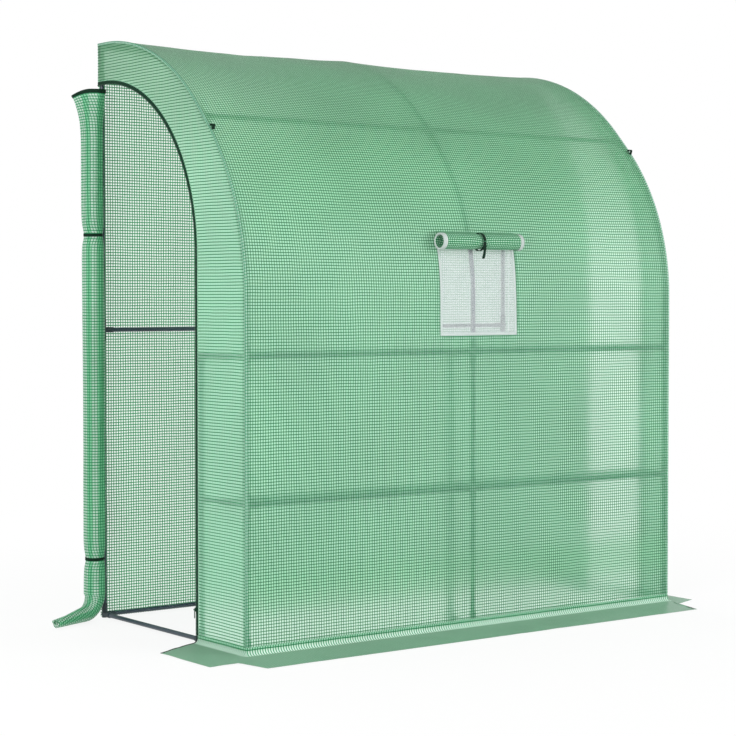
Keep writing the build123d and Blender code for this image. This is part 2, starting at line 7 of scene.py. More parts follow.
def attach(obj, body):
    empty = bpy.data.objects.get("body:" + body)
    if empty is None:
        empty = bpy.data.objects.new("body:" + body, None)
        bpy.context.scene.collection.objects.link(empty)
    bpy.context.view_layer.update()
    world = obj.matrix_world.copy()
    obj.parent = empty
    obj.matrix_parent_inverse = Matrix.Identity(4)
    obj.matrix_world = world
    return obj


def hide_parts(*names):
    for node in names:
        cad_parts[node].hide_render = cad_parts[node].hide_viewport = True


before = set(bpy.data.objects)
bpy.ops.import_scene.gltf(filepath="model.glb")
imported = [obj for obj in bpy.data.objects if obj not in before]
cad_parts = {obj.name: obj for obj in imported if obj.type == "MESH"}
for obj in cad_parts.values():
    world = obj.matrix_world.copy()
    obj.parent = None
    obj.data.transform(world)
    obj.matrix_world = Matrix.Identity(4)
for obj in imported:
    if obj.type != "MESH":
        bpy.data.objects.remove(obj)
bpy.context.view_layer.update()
scene = bpy.context.scene
scene.view_settings.view_transform = "Standard"

# Sizes repeated from the part's source, in millimetres about the middle of the frame
SHIFT = (82.783, 112.5, 0.0)
FILM = 1.2
HOOP_X = 988.35
FRONT_Y = -488.35
BACK_Y = 488.35
TOP_Z = 2138.35
SKIN = 11.05
SKIN_OUT = 11.65
WALL_BASE = 15.9
LAP_TOP = 27.9
FOLD = 16.0
SHEET_BACK = 498.7
BEND_STRAIGHT = 44.0
ROOF_ANGLE = math.radians(43.4)
BEND = BACK_Y - FRONT_Y
SPRING_Z = TOP_Z - BEND
LOW_R = BEND - BEND_STRAIGHT / math.tan(ROOF_ANGLE / 2)
HIGH_R = BEND - BEND_STRAIGHT / math.tan((math.pi / 2 - ROOF_ANGLE) / 2)
LOW_Z = SPRING_Z + BEND_STRAIGHT
TIERS = (507.0, 1006.65)
BACK_RAIL = 1084.0
WINDOW = (-155.0, 197.0, 1072.65, 1423.65)
LEFT_DOOR = dict(edge=-185.0, spring=1358.0, radius=640.0, back=SHEET_BACK)
RIGHT_DOOR = dict(edge=-348.0, spring=1266.0, radius=850.0, back=464.8)
HINGE = (999.4, 462.0)
AJAR = math.radians(-18)
ROLL = (-1046.8, 457.5)
ROLL_HEM = (-1002.8, 497.5)
ROLL_TOP = 1973.0
ROLL_FOOT = 100.0
TIE_HEIGHTS = (1437.0, 232.0)
TAIL_DIR = math.radians(202.8)


def metres(x, y, z):
    """A point in millimetres about the middle of the frame, as metres in the row frame."""
    return ((x + SHIFT[0]) / 1000, (y + SHIFT[1]) / 1000, (z + SHIFT[2]) / 1000)


def ripple(a, b, seed, size):
    """Smooth repeatable unevenness from -1 to 1."""
    return noise.noise(Vector((a / size, b / size, seed * 7.31)))


# Camera at the photograph's viewing angle

camera_data = bpy.data.cameras.new("camera")
camera_data.lens = 95.31
camera_data.sensor_width = 36
camera = bpy.data.objects.new("camera", camera_data)
camera.location = metres(-4582, -5953, 1211)
camera.rotation_euler = (math.radians(90 - 2.119), 0, math.radians(-36.894))
scene.collection.objects.link(camera)
scene.camera = camera

# Materials


class Nodes:
    """Short calls to build one material's node tree."""

    def __init__(self, name):
        self.material = bpy.data.materials.new(name)
        self.material.use_nodes = True
        self.tree = self.material.node_tree
        self.tree.nodes.clear()
        self.out = self.tree.nodes.new("ShaderNodeOutputMaterial")

    def link(self, source, target):
        self.tree.links.new(source, target)

    def node(self, kind, **settings):
        made = self.tree.nodes.new(kind)
        for key, value in settings.items():
            setattr(made, key, value)
        return made

    def put(self, socket, value):
        if isinstance(value, bpy.types.NodeSocket):
            self.link(value, socket)
        else:
            socket.default_value = value

    def math(self, operation, a, b=0.0, c=0.0, clamp=False):
        made = self.node("ShaderNodeMath", operation=operation, use_clamp=clamp)
        for socket, value in zip(made.inputs, (a, b, c)):
            self.put(socket, value)
        return made.outputs[0]

    def ramp(self, value, low, high, to_low=0.0, to_high=1.0):
        made = self.node("ShaderNodeMapRange", interpolation_type="SMOOTHSTEP")
        for key, socket in zip(
            (value, low, high, to_low, to_high), [made.inputs[i] for i in (0, 1, 2, 3, 4)]
        ):
            self.put(socket, key)
        return made.outputs[0]

    def mix(self, factor, a, b):
        made = self.node("ShaderNodeMix", data_type="RGBA")
        self.put(made.inputs[0], factor)
        self.put(made.inputs[6], a)
        self.put(made.inputs[7], b)
        return made.outputs[2]

    def uv(self):
        """The two lengths of the piece's own sheet, in metres."""
        made = self.node("ShaderNodeUVMap", uv_map="sheet")
        split = self.node("ShaderNodeSeparateXYZ")
        self.link(made.outputs[0], split.inputs[0])
        return made.outputs[0], split.outputs[0], split.outputs[1]

    def object_place(self):
        return self.node("ShaderNodeTexCoord").outputs["Object"]

    def noise(self, vector, scale, detail=2.0, rough=0.5):
        made = self.node("ShaderNodeTexNoise")
        self.put(made.inputs["Vector"], vector)
        made.inputs["Scale"].default_value = scale
        made.inputs["Detail"].default_value = detail
        made.inputs["Roughness"].default_value = rough
        return made.outputs[0]

    def bump(self, height, strength, distance):
        made = self.node("ShaderNodeBump")
        made.inputs["Strength"].default_value = strength
        made.inputs["Distance"].default_value = distance
        self.put(made.inputs["Height"], height)
        return made.outputs[0]

    def principled(self, color, roughness, normal=None, **sockets):
        made = self.node("ShaderNodeBsdfPrincipled")
        self.put(made.inputs["Base Color"], color)
        self.put(made.inputs["Roughness"], roughness)
        for name, value in sockets.items():
            made.inputs[name.replace("_", " ")].default_value = value
        if normal is not None:
            self.link(normal, made.inputs["Normal"])
        return made.outputs[0]

    def blend(self, factor, a, b):
        made = self.node("ShaderNodeMixShader")
        self.put(made.inputs[0], factor)
        self.link(a, made.inputs[1])
        self.link(b, made.inputs[2])
        return made.outputs[0]

    def done(self, shader):
        self.link(shader, self.out.inputs["Surface"])
        return self.material


def srgb(r, g, b):
    """A colour read off the photograph, in 0 to 255, as linear values."""
    return tuple(
        c / 255 / 12.92 if c / 255 <= 0.04045 else ((c / 255 + 0.055) / 1.055) ** 2.4 for c in (r, g, b)
    ) + (1.0,)


GRID_PITCH = 0.0105


def grid_film(
    name,
    thread,
    cross,
    cell,
    share=0.3,
    cell_solid=0.12,
    through=0.35,
    hazy=False,
    upright=None,
    pitch=GRID_PITCH,
    dust_and_painted_shade=None,
):
    """Reinforced film: green tape threads in a square grid, laminated in pale clear film, with painted shade in bands
    up the sheet if asked: darker, more solid cells and darker threads.
    """
    n = Nodes(name)
    place, along, across = n.uv()
    waver = n.noise(place, 9.0, 1.0)
    bands = []
    for length, seed, wide in ((along, 0.0, share if upright is None else upright), (across, 3.7, share)):
        steps = n.math("MULTIPLY_ADD", length, 1 / pitch, seed)
        steps = n.math("MULTIPLY_ADD", n.math("SUBTRACT", waver, 0.5), 0.35, steps)
        off = n.math("ABSOLUTE", n.math("SUBTRACT", n.math("FRACT", steps), 0.5))
        bands.append(n.ramp(off, wide / 2 + 0.03, wide / 2 - 0.03))
    mesh = n.math("MAXIMUM", bands[0], bands[1])
    crossing = n.math("MULTIPLY", bands[0], bands[1])
    cloud = n.noise(place, 2.3, 3.0)
    dark = n.mix(crossing, thread, cross)
    # Painted shade: where the ramps reach, cells turn darker and more solid and threads turn toward the cross colour.
    if dust_and_painted_shade is not None:
        ramps, painted_shade_cell, painted_shade_solid = dust_and_painted_shade
        painted_shade_amount = 0.0
        for low, high, most, fade_low, fade_high in ramps:
            here = n.math("MULTIPLY", n.ramp(across, low, high, 0.0, most), n.ramp(across, fade_low, fade_high))
            painted_shade_amount = n.math("MAXIMUM", here, painted_shade_amount)
        dark = n.mix(n.math("MULTIPLY", painted_shade_amount, 0.5), dark, cross)
        cell = n.mix(painted_shade_amount, cell, painted_shade_cell)
        cell_solid = n.ramp(painted_shade_amount, 0.0, 1.0, cell_solid, painted_shade_solid)
    tone = n.mix(mesh, cell, dark)
    vary = n.ramp(cloud, 0.3, 0.7, 0.94, 1.05)
    bright = n.node("ShaderNodeHueSaturation")
    n.put(bright.inputs["Value"], vary)
    n.put(bright.inputs["Color"], tone)
    color = bright.outputs[0]
    relief = n.math("ADD", mesh, n.math("MULTIPLY", crossing, 0.6))
    normal = n.bump(relief, 0.5, 0.0004)
    rough = n.ramp(mesh, 0.0, 1.0, 0.22, 0.42)
    solid = n.principled(color, rough, normal, Specular_IOR_Level=0.25)
    glow = n.node("ShaderNodeBsdfTranslucent")
    n.put(glow.inputs["Color"], color)
    lit = n.blend(through, solid, glow.outputs[0])
    clear = n.node("ShaderNodeBsdfTransparent")
    clear.inputs["Color"].default_value = (0.97, 0.99, 0.98, 1)
    see_through = clear.outputs[0]
    if hazy:
        haze = n.node("ShaderNodeBsdfRefraction")
        haze.inputs["Color"].default_value = (0.98, 1.0, 0.99, 1)
        haze.inputs["Roughness"].default_value = 0.38
        haze.inputs["IOR"].default_value = 1.25
        path = n.node("ShaderNodeLightPath")
        lamp = n.math("MAXIMUM", path.outputs["Is Shadow Ray"], path.outputs["Is Diffuse Ray"])
        see_through = n.blend(lamp, haze.outputs[0], see_through)
    cover = n.ramp(mesh, 0.0, 1.0, cell_solid, 0.97)
    return n.done(n.blend(cover, see_through, lit))


THREAD = srgb(46, 144, 92)
CROSS = srgb(30, 112, 68)
CELL = srgb(200, 254, 224)
NO_THREADS = -0.1
# Painted shade: on the front and roof sheet it rises toward the roof and fills a low band near the wall's foot; on the
# left end it fills the upper part.
FRONT_PAINTED_SHADE = ((1.0, 1.85, 1.0, -2.0, -1.0), (0.32, 0.2, 0.6, 0.06, 0.16))
END_PAINTED_SHADE = ((1.2, 2.1, 1.0, -2.0, -1.0),)
film = grid_film("grid_film", THREAD, CROSS, CELL, 0.37, 0.22)
film_hazy = grid_film("grid_film_hazy", THREAD, CROSS, CELL, 0.26, 0.24, hazy=True)
# The darker cell colours and solid shares given with these ramps are painted shade.
film_front = grid_film(
    "grid_film_front", THREAD, CROSS, CELL, 0.255, 0.24, hazy=True, dust_and_painted_shade=(FRONT_PAINTED_SHADE, srgb(166, 226, 186), 0.52)
)
film_left = grid_film(
    "grid_film_left",
    THREAD,
    CROSS,
    CELL,
    0.28,
    0.34,
    hazy=True,
    upright=0.06,
    dust_and_painted_shade=(END_PAINTED_SHADE, srgb(146, 198, 162), 0.6),
)
film_double = grid_film("grid_film_double", THREAD, CROSS, CELL, 0.36, 0.65, 0.3)
film_seam = grid_film("grid_film_seam", srgb(92, 164, 128), srgb(76, 146, 110), srgb(204, 238, 220), 0.4, 0.7, 0.3)
film_rolled = grid_film(
    "grid_film_rolled", srgb(46, 146, 92), srgb(32, 114, 70), srgb(212, 250, 228), 0.52, 0.9, 0.25, pitch=0.0084
)
film_wound = grid_film(
    "grid_film_wound", srgb(58, 156, 104), srgb(40, 128, 82), srgb(226, 249, 237), 0.24, 0.72, 0.4, upright=0.37
)
film_lapped = grid_film(
    "grid_film_lapped", srgb(44, 140, 90), srgb(34, 116, 74), srgb(132, 208, 164), 0.3, 0.9, 0.35, upright=0.34
)
film_fold = grid_film(
    "grid_film_fold", srgb(70, 160, 112), CROSS, srgb(216, 241, 226), NO_THREADS, 0.92, 0.3, upright=0.42
)
film_ground = grid_film(
    "grid_film_ground", srgb(92, 150, 116), srgb(80, 138, 104), srgb(160, 202, 174), 0.45, 0.9, 0.15
)


def woven_tape(name, base, shade, pitch=0.0011, rough=0.8, through=0.0, stitch=None):
    """Narrow woven tape with a rib weave, and a row of stitches near each edge if asked."""
    n = Nodes(name)
    place, along, across = n.uv()
    warp = n.math("SINE", n.math("MULTIPLY", along, 2 * math.pi / pitch))
    weft = n.math("SINE", n.math("MULTIPLY", across, 2 * math.pi / (pitch * 1.6)))
    weave = n.math("MULTIPLY_ADD", n.math("MULTIPLY", warp, weft), 0.5, 0.5)
    fuzz = n.noise(place, 60.0, 3.0)
    tone = n.mix(n.math("MULTIPLY_ADD", weave, 0.6, n.math("MULTIPLY", fuzz, 0.4)), shade, base)
    height = weave
    if stitch is not None:
        color, rows, gap = stitch
        dash = n.ramp(n.math("FRACT", n.math("MULTIPLY", along, 1 / gap)), 0.28, 0.34)
        for row in rows:
            near = n.math("ABSOLUTE", n.math("SUBTRACT", across, row))
            line = n.math("MULTIPLY", n.ramp(near, 0.0008, 0.0004), dash)
            tone = n.mix(line, tone, color)
            height = n.math("ADD", height, n.math("MULTIPLY", line, 1.5))
    shader = n.principled(tone, rough, n.bump(height, 0.6, 0.0004), Specular_IOR_Level=0.15)
    if through:
        glow = n.node("ShaderNodeBsdfTranslucent")
        n.put(glow.inputs["Color"], tone)
        shader = n.blend(through, shader, glow.outputs[0])
    return n.done(shader)


zip_tape = woven_tape("zip_tape", srgb(14, 50, 33), srgb(6, 28, 18), stitch=(srgb(30, 78, 54), (0.004, 0.009), 0.003))
strap = woven_tape("dark_webbing", srgb(12, 46, 30), srgb(5, 24, 15), 0.0016)
white_tape = woven_tape("white_tape", srgb(226, 232, 230), srgb(190, 202, 200), 0.0012, 0.75, 0.3, (srgb(168, 182, 180), (0.0025, 0.0095), 0.0035))


def insect_net():
    """White knitted insect net: fine threads with small holes."""
    n = Nodes("insect_net")
    place, along, across = n.uv()
    lines = []
    for length in (along, across):
        off = n.math("ABSOLUTE", n.math("SUBTRACT", n.math("FRACT", n.math("MULTIPLY", length, 1 / 0.0016)), 0.5))
        lines.append(n.ramp(off, 0.17, 0.13))
    threads = n.math("MAXIMUM", lines[0], lines[1])
    cloud = n.noise(place, 14.0, 2.0)
    tone = n.mix(cloud, srgb(226, 233, 237), srgb(240, 244, 247))
    solid = n.principled(tone, 0.7, n.bump(threads, 0.5, 0.0003), Sheen_Weight=0.2)
    glow = n.node("ShaderNodeBsdfTranslucent")
    n.put(glow.inputs["Color"], tone)
    clear = n.node("ShaderNodeBsdfTransparent")
    cover = n.ramp(threads, 0.0, 1.0, 0.08, 0.94)
    return n.done(n.blend(cover, clear.outputs[0], n.blend(0.35, solid, glow.outputs[0])))


net = insect_net()


def painted_steel():
    """Slate powder coat on steel tube: fine orange peel, dust and a little rubbing."""
    n = Nodes("painted_steel")
    place = n.object_place()
    peel = n.noise(place, 900.0, 2.0)
    dust_and_painted_shade = n.noise(place, 7.0, 4.0, 0.6)
    rub = n.noise(place, 55.0, 5.0, 0.7)
    tone = n.mix(n.ramp(dust_and_painted_shade, 0.35, 0.75), srgb(25, 43, 55), srgb(42, 60, 70))
    tone = n.mix(n.ramp(rub, 0.68, 0.78, 0.0, 0.45), tone, srgb(104, 116, 122))
    rough = n.ramp(dust_and_painted_shade, 0.3, 0.8, 0.34, 0.52)
    return n.done(n.principled(tone, rough, n.bump(peel, 0.12, 0.0004), Coat_Weight=0.15, Coat_Roughness=0.3))


def moulded_plastic():
    """Dark moulded nylon with a fine spark grain."""
    n = Nodes("moulded_plastic")
    place = n.object_place()
    grain = n.noise(place, 1500.0, 3.0)
    flow = n.noise(place, 24.0, 3.0)
    tone = n.mix(n.ramp(flow, 0.3, 0.7), srgb(28, 40, 46), srgb(44, 58, 64))
    return n.done(n.principled(tone, n.ramp(flow, 0.3, 0.7, 0.5, 0.66), n.bump(grain, 0.25, 0.0003)))


def coated_wire():
    """Plastic-dipped shelf wire, slightly lumpy at the welds."""
    n = Nodes("coated_wire")
    place = n.object_place()
    lump = n.noise(place, 120.0, 3.0)
    tone = n.mix(n.ramp(lump, 0.3, 0.7), srgb(34, 58, 56), srgb(54, 80, 76))
    return n.done(n.principled(tone, n.ramp(lump, 0.3, 0.7, 0.3, 0.45), n.bump(lump, 0.3, 0.0006), Coat_Weight=0.2))


def gloss_plastic():
    """Glossy dark green moulded plastic of the zip sliders."""
    n = Nodes("gloss_plastic")
    place = n.object_place()
    swirl = n.noise(place, 300.0, 3.0)
    tone = n.mix(swirl, srgb(14, 50, 34), srgb(26, 74, 52))
    return n.done(n.principled(tone, n.ramp(swirl, 0.3, 0.7, 0.18, 0.3), n.bump(swirl, 0.08, 0.0002), Coat_Weight=0.3))


def zip_teeth_plastic():
    """Moulded coil teeth, slightly lighter where they rub."""
    n = Nodes("zip_teeth")
    place = n.object_place()
    worn = n.noise(place, 220.0, 3.0)
    tone = n.mix(n.ramp(worn, 0.45, 0.75), srgb(16, 54, 36), srgb(44, 92, 68))
    return n.done(n.principled(tone, 0.35, n.bump(worn, 0.1, 0.0002)))


steel = painted_steel()
plastic = moulded_plastic()
wire = coated_wire()
gloss = gloss_plastic()
teeth = zip_teeth_plastic()

# CAD nodes that keep their shape

JOINT_WORDS = ("feet", "joints", "tees")
for node_name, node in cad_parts.items():
    if "wire_shelf" in node_name:
        finish = wire
    elif node_name.endswith(("slider", "pull")):
        finish = gloss
    elif node_name.endswith(JOINT_WORDS):
        finish = plastic
    else:
        finish = steel
    node.data.materials.clear()
    node.data.materials.append(finish)

# Mesh helpers


def piece(name, points, faces, uvs, materials, body, kinds=None, smooth=True):
    """A new mesh piece in the row frame that rides on a body. The points are in millimetres."""
    mesh = bpy.data.meshes.new(name)
    mesh.from_pydata([metres(*p) for p in points], [], faces)
    layer = mesh.uv_layers.new(name="sheet")
    corner_uv = [c for loop in mesh.loops for c in uvs[loop.vertex_index]]
    layer.data.foreach_set("uv", corner_uv)
    for material in materials:
        mesh.materials.append(material)
    if kinds is not None:
        mesh.polygons.foreach_set("material_index", kinds)
    mesh.polygons.foreach_set("use_smooth", [smooth] * len(mesh.polygons))
    mesh.update()
    made = bpy.data.objects.new(name, mesh)
    scene.collection.objects.link(made)
    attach(made, body)
    return made


def grid_faces(rows, columns, keep=None, start=0):
    """Quads of a grid of points kept row by row."""
    faces = []
    for r in range(rows - 1):
        for c in range(columns - 1):
            if keep is None or keep(r, c):
                a = start + r * columns + c
                faces.append((a, a + 1, a + columns + 1, a + columns))
    return faces


def steps(low, high, spacing, *also):
    """Places from low to high about a spacing apart, with some exact places among them."""
    stops = sorted({low, high, *[a for a in also if low < a < high]})
    places = []
    for a, b in zip(stops, stops[1:]):
        count = max(1, round((b - a) / spacing))
        places += [a + (b - a) * i / count for i in range(count)]
    return places + [high]


def thicken(obj):
    """Gives a film two faces, so that its haze blurs what is behind it and doesn't shift it."""
    modifier = obj.modifiers.new("film_thickness", "SOLIDIFY")
    modifier.thickness = FILM / 1000
    modifier.offset = 0.0


# Shape of the cover

LOW_LENGTH = LOW_R * ROOF_ANGLE
HIGH_LENGTH = HIGH_R * (math.pi / 2 - ROOF_ANGLE)
WALL_LENGTH = LOW_Z - WALL_BASE
ROOF_S = WALL_LENGTH + LOW_LENGTH + BEND_STRAIGHT
HIGH_S = ROOF_S + BEND_STRAIGHT
FLAT_S = HIGH_S + HIGH_LENGTH
LOW_CENTRE = (FRONT_Y + LOW_R, LOW_Z)
HIGH_CENTRE = (BACK_Y - BEND_STRAIGHT, TOP_Z - HIGH_R)
END_S = FLAT_S + SHEET_BACK - HIGH_CENTRE[0]
RIDGE_S = FLAT_S + BEND_STRAIGHT
RAIL_S = (-4.0, TIERS[0] - WALL_BASE, TIERS[1] - WALL_BASE, ROOF_S, RIDGE_S)
PANEL_SAG = (4.0, 4.0, 8.0, 15.0)


def skin_at(s, offset):
    """Y, Z and the outward way of the front and roof line, a length s up from the wall's foot."""
    if s <= WALL_LENGTH:
        return FRONT_Y - offset, WALL_BASE + s, -1.0, 0.0
    if s <= WALL_LENGTH + LOW_LENGTH:
        turn = (s - WALL_LENGTH) / LOW_R
        centre, radius, run = LOW_CENTRE, LOW_R, 0.0
    elif s <= HIGH_S:
        turn = ROOF_ANGLE
        centre, radius, run = LOW_CENTRE, LOW_R, s - WALL_LENGTH - LOW_LENGTH
    elif s <= FLAT_S:
        turn = ROOF_ANGLE + (s - HIGH_S) / HIGH_R
        centre, radius, run = HIGH_CENTRE, HIGH_R, 0.0
    else:
        turn = math.pi / 2
        centre, radius, run = HIGH_CENTRE, HIGH_R, s - FLAT_S
    out_y, out_z = -math.cos(turn), math.sin(turn)
    y = centre[0] + (radius + offset) * out_y + run * math.sin(turn)
    z = centre[1] + (radius + offset) * out_z + run * math.cos(turn)
    return y, z, out_y, out_z


def s_of_height(z, offset=SKIN):
    """Length up the front wall at a height, below the roof rail."""
    if z <= LOW_Z:
        return z - WALL_BASE
    return WALL_LENGTH + LOW_R * math.asin((z - LOW_Z) / (LOW_R + offset))


def bay_wave(x):
    """From 0 at a hoop to 1 in the middle of a bay."""
    t = min(abs(x), HOOP_X) / HOOP_X
    return math.sin(math.pi * t) ** 0.8 if 0 < t < 1 else 0.0


def panel_wave(value, stops, sags):
    """Sag in the panel between two rails, from 0 at the rails."""
    for low, high, sag in zip(stops, stops[1:], sags):
        if low < value < high:
            return sag * math.sin(math.pi * (value - low) / (high - low)) ** 0.8
    return 0.0


def slack(x, s):
    """How far the front and roof film sags in from its tight line."""
    wave = bay_wave(x)
    hang = panel_wave(s, RAIL_S, PANEL_SAG)
    crease = ripple(x, s, 1, 210) * 3.0 + ripple(x + s * 0.6, s - x * 0.4, 2, 85) * 1.2
    return wave * hang * (1 + 0.25 * ripple(x, s, 3, 400)) + crease * wave * min(1.0, hang / 3)


def front_point(x, s, offset=SKIN):
    """A point on the front and roof film, with its sag."""
    y, z, out_y, out_z = skin_at(s, offset)
    back = slack(x, s)
    return (x, y - out_y * back, z - out_z * back)


# Front and roof sheet, with the window cut out

window_s = (s_of_height(WINDOW[2]), s_of_height(WINDOW[3]))
columns_x = steps(-1000.0, 1000.0, 24.0, -HOOP_X, 0.0, HOOP_X, WINDOW[0], WINDOW[1])
rows_s = steps(0.0, END_S, 24.0, *RAIL_S[1:], *window_s, WALL_LENGTH, HIGH_S, FLAT_S)


def outside_window(r, c):
    in_x = WINDOW[0] <= (columns_x[c] + columns_x[c + 1]) / 2 <= WINDOW[1]
    in_s = window_s[0] <= (rows_s[r] + rows_s[r + 1]) / 2 <= window_s[1]
    return not (in_x and in_s)


front = piece(
    "front_roof_film",
    [front_point(x, s) for s in rows_s for x in columns_x],
    grid_faces(len(rows_s), len(columns_x), outside_window),
    [(x / 1000, s / 1000) for s in rows_s for x in columns_x],
    [film_front],
    "frame",
)
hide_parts("front_roof_sheet")
thicken(front)

# Back sheet

BACK_STOPS = (0.0, BACK_RAIL, TOP_Z)


def back_point(x, z, offset=SKIN):
    wave = bay_wave(x)
    hang = panel_wave(z, BACK_STOPS, (4.0, 4.0))
    crease = ripple(x, z, 11, 260) * 2.0 * wave * min(1.0, hang / 2)
    return (x, BACK_Y + offset - wave * hang * 0.8 - crease, z)


back_z = steps(0.8, 2149.4, 36.0, BACK_RAIL)
back_x = steps(-1000.0, 1000.0, 36.0, -HOOP_X, 0.0, HOOP_X)
back = piece(
    "back_film",
    [back_point(x, z) for z in back_z for x in back_x],
    grid_faces(len(back_z), len(back_x)),
    [(x / 1000, z / 1000) for z in back_z for x in back_x],
    [film],
    "frame",
)
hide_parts("back_sheet")

# End sheets with their doorways


def doorway_line(door, lap, base):
    """Doorway's outline from its foot up and over to the back, grown by a lap: foot, arch and top runs."""
    front_y = door["edge"] - lap
    radius = door["radius"] + lap
    centre_y = door["edge"] + door["radius"]
    limit = door["back"]
    last = math.pi / 2
    if centre_y > limit:
        last = math.acos((centre_y - limit) / radius)
    foot = [(front_y, z) for z in steps(base, door["spring"], 24.0, *TIERS)]
    arch = []
    count = 48
    for i in range(1, count + 1):
        turn = last * i / count
        arch.append((centre_y - radius * math.cos(turn), door["spring"] + radius * math.sin(turn)))
    top = []
    if centre_y < limit - 1:
        top = [(centre_y + (limit - centre_y) * i / 4, door["spring"] + radius) for i in range(1, 5)]
    return foot + arch + top, len(foot), len(arch)


def rim_line(counts):
    """Outer edge of an end sheet with as many points on each run as the doorway's outline."""
    foot, arch, top = counts
    inset = SKIN - 1.2
    rim = []
    for i in range(foot):
        y, z, _, _ = skin_at(WALL_LENGTH * i / (foot - 1), inset)
        rim.append((y, z))
    upper = END_S - WALL_LENGTH
    total = arch + top
    for i in range(1, total + 1):
        y, z, _, _ = skin_at(WALL_LENGTH + upper * i / total, inset)
        rim.append((y, z))
    return rim


def end_slack(y, z, across):
    """How far an end sheet sags in, nothing along the hoop, the doorway's edge and the bars."""
    wave = math.sin(math.pi * max(0.0, (across - 0.14) / 0.86)) if across < 1 else 0.0
    stops = (0.0, *TIERS, 2300.0)
    hang = panel_wave(z, stops, (3.0, 3.0, 4.0))
    crease = ripple(y, z, 21, 120) * 1.5 * wave * min(1.0, hang / 2)
    return max(0.0, wave * hang + crease)


def end_sheet(name, door, side, material, node):
    """End sheet as rings of points from the doorway's edge out to the hoop."""
    line, foot, arch = doorway_line(door, 0.0, WALL_BASE)
    rim = rim_line((foot, arch, len(line) - foot - arch))
    if door["back"] < SHEET_BACK:
        for z in reversed(steps(1.0, line[-1][1] - 12.0, 36.0)):
            line.append((door["back"], z))
            rim.append((SHEET_BACK, z))
    shares = [i / 14 for i in range(15)]
    points, uvs = [], []
    for inner, outer in zip(line, rim):
        for w in shares:
            y = inner[0] + (outer[0] - inner[0]) * w
            z = inner[1] + (outer[1] - inner[1]) * w
            points.append((side * (999.4 - end_slack(y, z, w)), y, z))
            uvs.append((y / 1000, z / 1000))
    faces = grid_faces(len(line), len(shares))
    made = piece(name, points, faces, uvs, [material], "frame")
    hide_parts(node)
    thicken(made)
    return made


left_end = end_sheet("left_end_film", LEFT_DOOR, -1, film_left, "left_end_sheet")
right_end = end_sheet("right_end_film", RIGHT_DOOR, 1, film_hazy, "right_end_sheet")


def strip(name, lines, uv_across, material, body):
    """Band through matching lines of points, with its length and width as its sheet lengths."""
    points, uvs = [], []
    run = 0.0
    for i in range(len(lines[0])):
        if i:
            run += math.dist(lines[0][i], lines[0][i - 1])
        for line, across in zip(lines, uv_across):
            points.append(line[i])
            uvs.append((run / 1000, across / 1000))
    return piece(name, points, grid_faces(len(lines[0]), len(lines)), uvs, [material], body)


def doorway_band(name, door, side, laps, out, material, base):
    """Band on the outside of an end sheet along its doorway."""
    lines = []
    for lap in laps:
        line, _, _ = doorway_line(door, lap, base)
        lines.append([(side * (1000 + out), y, z) for y, z in line])
    return strip(name, lines, laps, material, "frame")


def zip_band(name, door, side, node):
    """Zip: sewn tape and a row of coil teeth along the doorway's edge."""
    base = LAP_TOP + 0.5
    laps = (11.0, 8.0, 3.0, -2.0)
    outs = (0.25, 0.9, 1.0, 0.9)
    points, uvs, faces, kinds = [], [], [], []
    lines = [doorway_line(door, lap, base)[0] for lap in laps]
    run = 0.0
    for i in range(len(lines[0])):
        if i:
            run += math.dist(lines[0][i], lines[0][i - 1])
        for line, lap, out in zip(lines, laps, outs):
            points.append((side * (1000 + out), line[i][0], line[i][1]))
            uvs.append((run / 1000, (11.0 - lap) / 1000))
    faces += grid_faces(len(lines[0]), len(laps))
    kinds += [0] * len(faces)
    near = doorway_line(door, -0.4, base)[0]
    far = doorway_line(door, -3.9, base)[0]
    spacing, carried = 3.0, 0.0
    for a, b, c, d in zip(near, near[1:], far, far[1:]):
        length = math.dist(a, b)
        place = carried
        while place < length:
            ends = []
            for t in (place / length, min(1.0, (place + 1.9) / length)):
                ends.append((a[0] + (b[0] - a[0]) * t, a[1] + (b[1] - a[1]) * t))
                ends.append((c[0] + (d[0] - c[0]) * t, c[1] + (d[1] - c[1]) * t))
            first = len(points)
            for out in (-1.4, 1.2, 2.3):
                for k, (y, z) in enumerate(ends):
                    pull = 0.22 if out == 2.3 else 0.0
                    mid_y = sum(e[0] for e in ends) / 4
                    mid_z = sum(e[1] for e in ends) / 4
                    points.append((side * (1000 + out), y + (mid_y - y) * pull, z + (mid_z - z) * pull))
                    uvs.append((0.0, 0.0))
            ring = (0, 1, 3, 2)
            for level in (0, 4):
                for p, q in zip(ring, ring[1:] + ring[:1]):
                    faces.append((first + level + p, first + level + q, first + level + 4 + q, first + level + 4 + p))
                    kinds.append(1)
            faces.append(tuple(first + 8 + p for p in ring))
            faces.append(tuple(first + p for p in reversed(ring)))
            kinds += [1, 1]
            place += spacing
        carried = place - length
    made = piece(name, points, faces, uvs, [zip_tape, teeth], "frame", kinds, False)
    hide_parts(node)
    return made


left_hem = doorway_band("left_doorway_hem", LEFT_DOOR, -1, (0.0, 7.0, 14.0), 0.12, film_double, LAP_TOP + 0.5)
right_hem = doorway_band("right_doorway_hem", RIGHT_DOOR, 1, (0.0, 7.0, 14.0), 0.12, film_double, LAP_TOP + 0.5)
left_zip = zip_band("left_zip_coil", LEFT_DOOR, -1, "left_zip")
right_zip = zip_band("right_zip_coil", RIGHT_DOOR, 1, "right_zip")


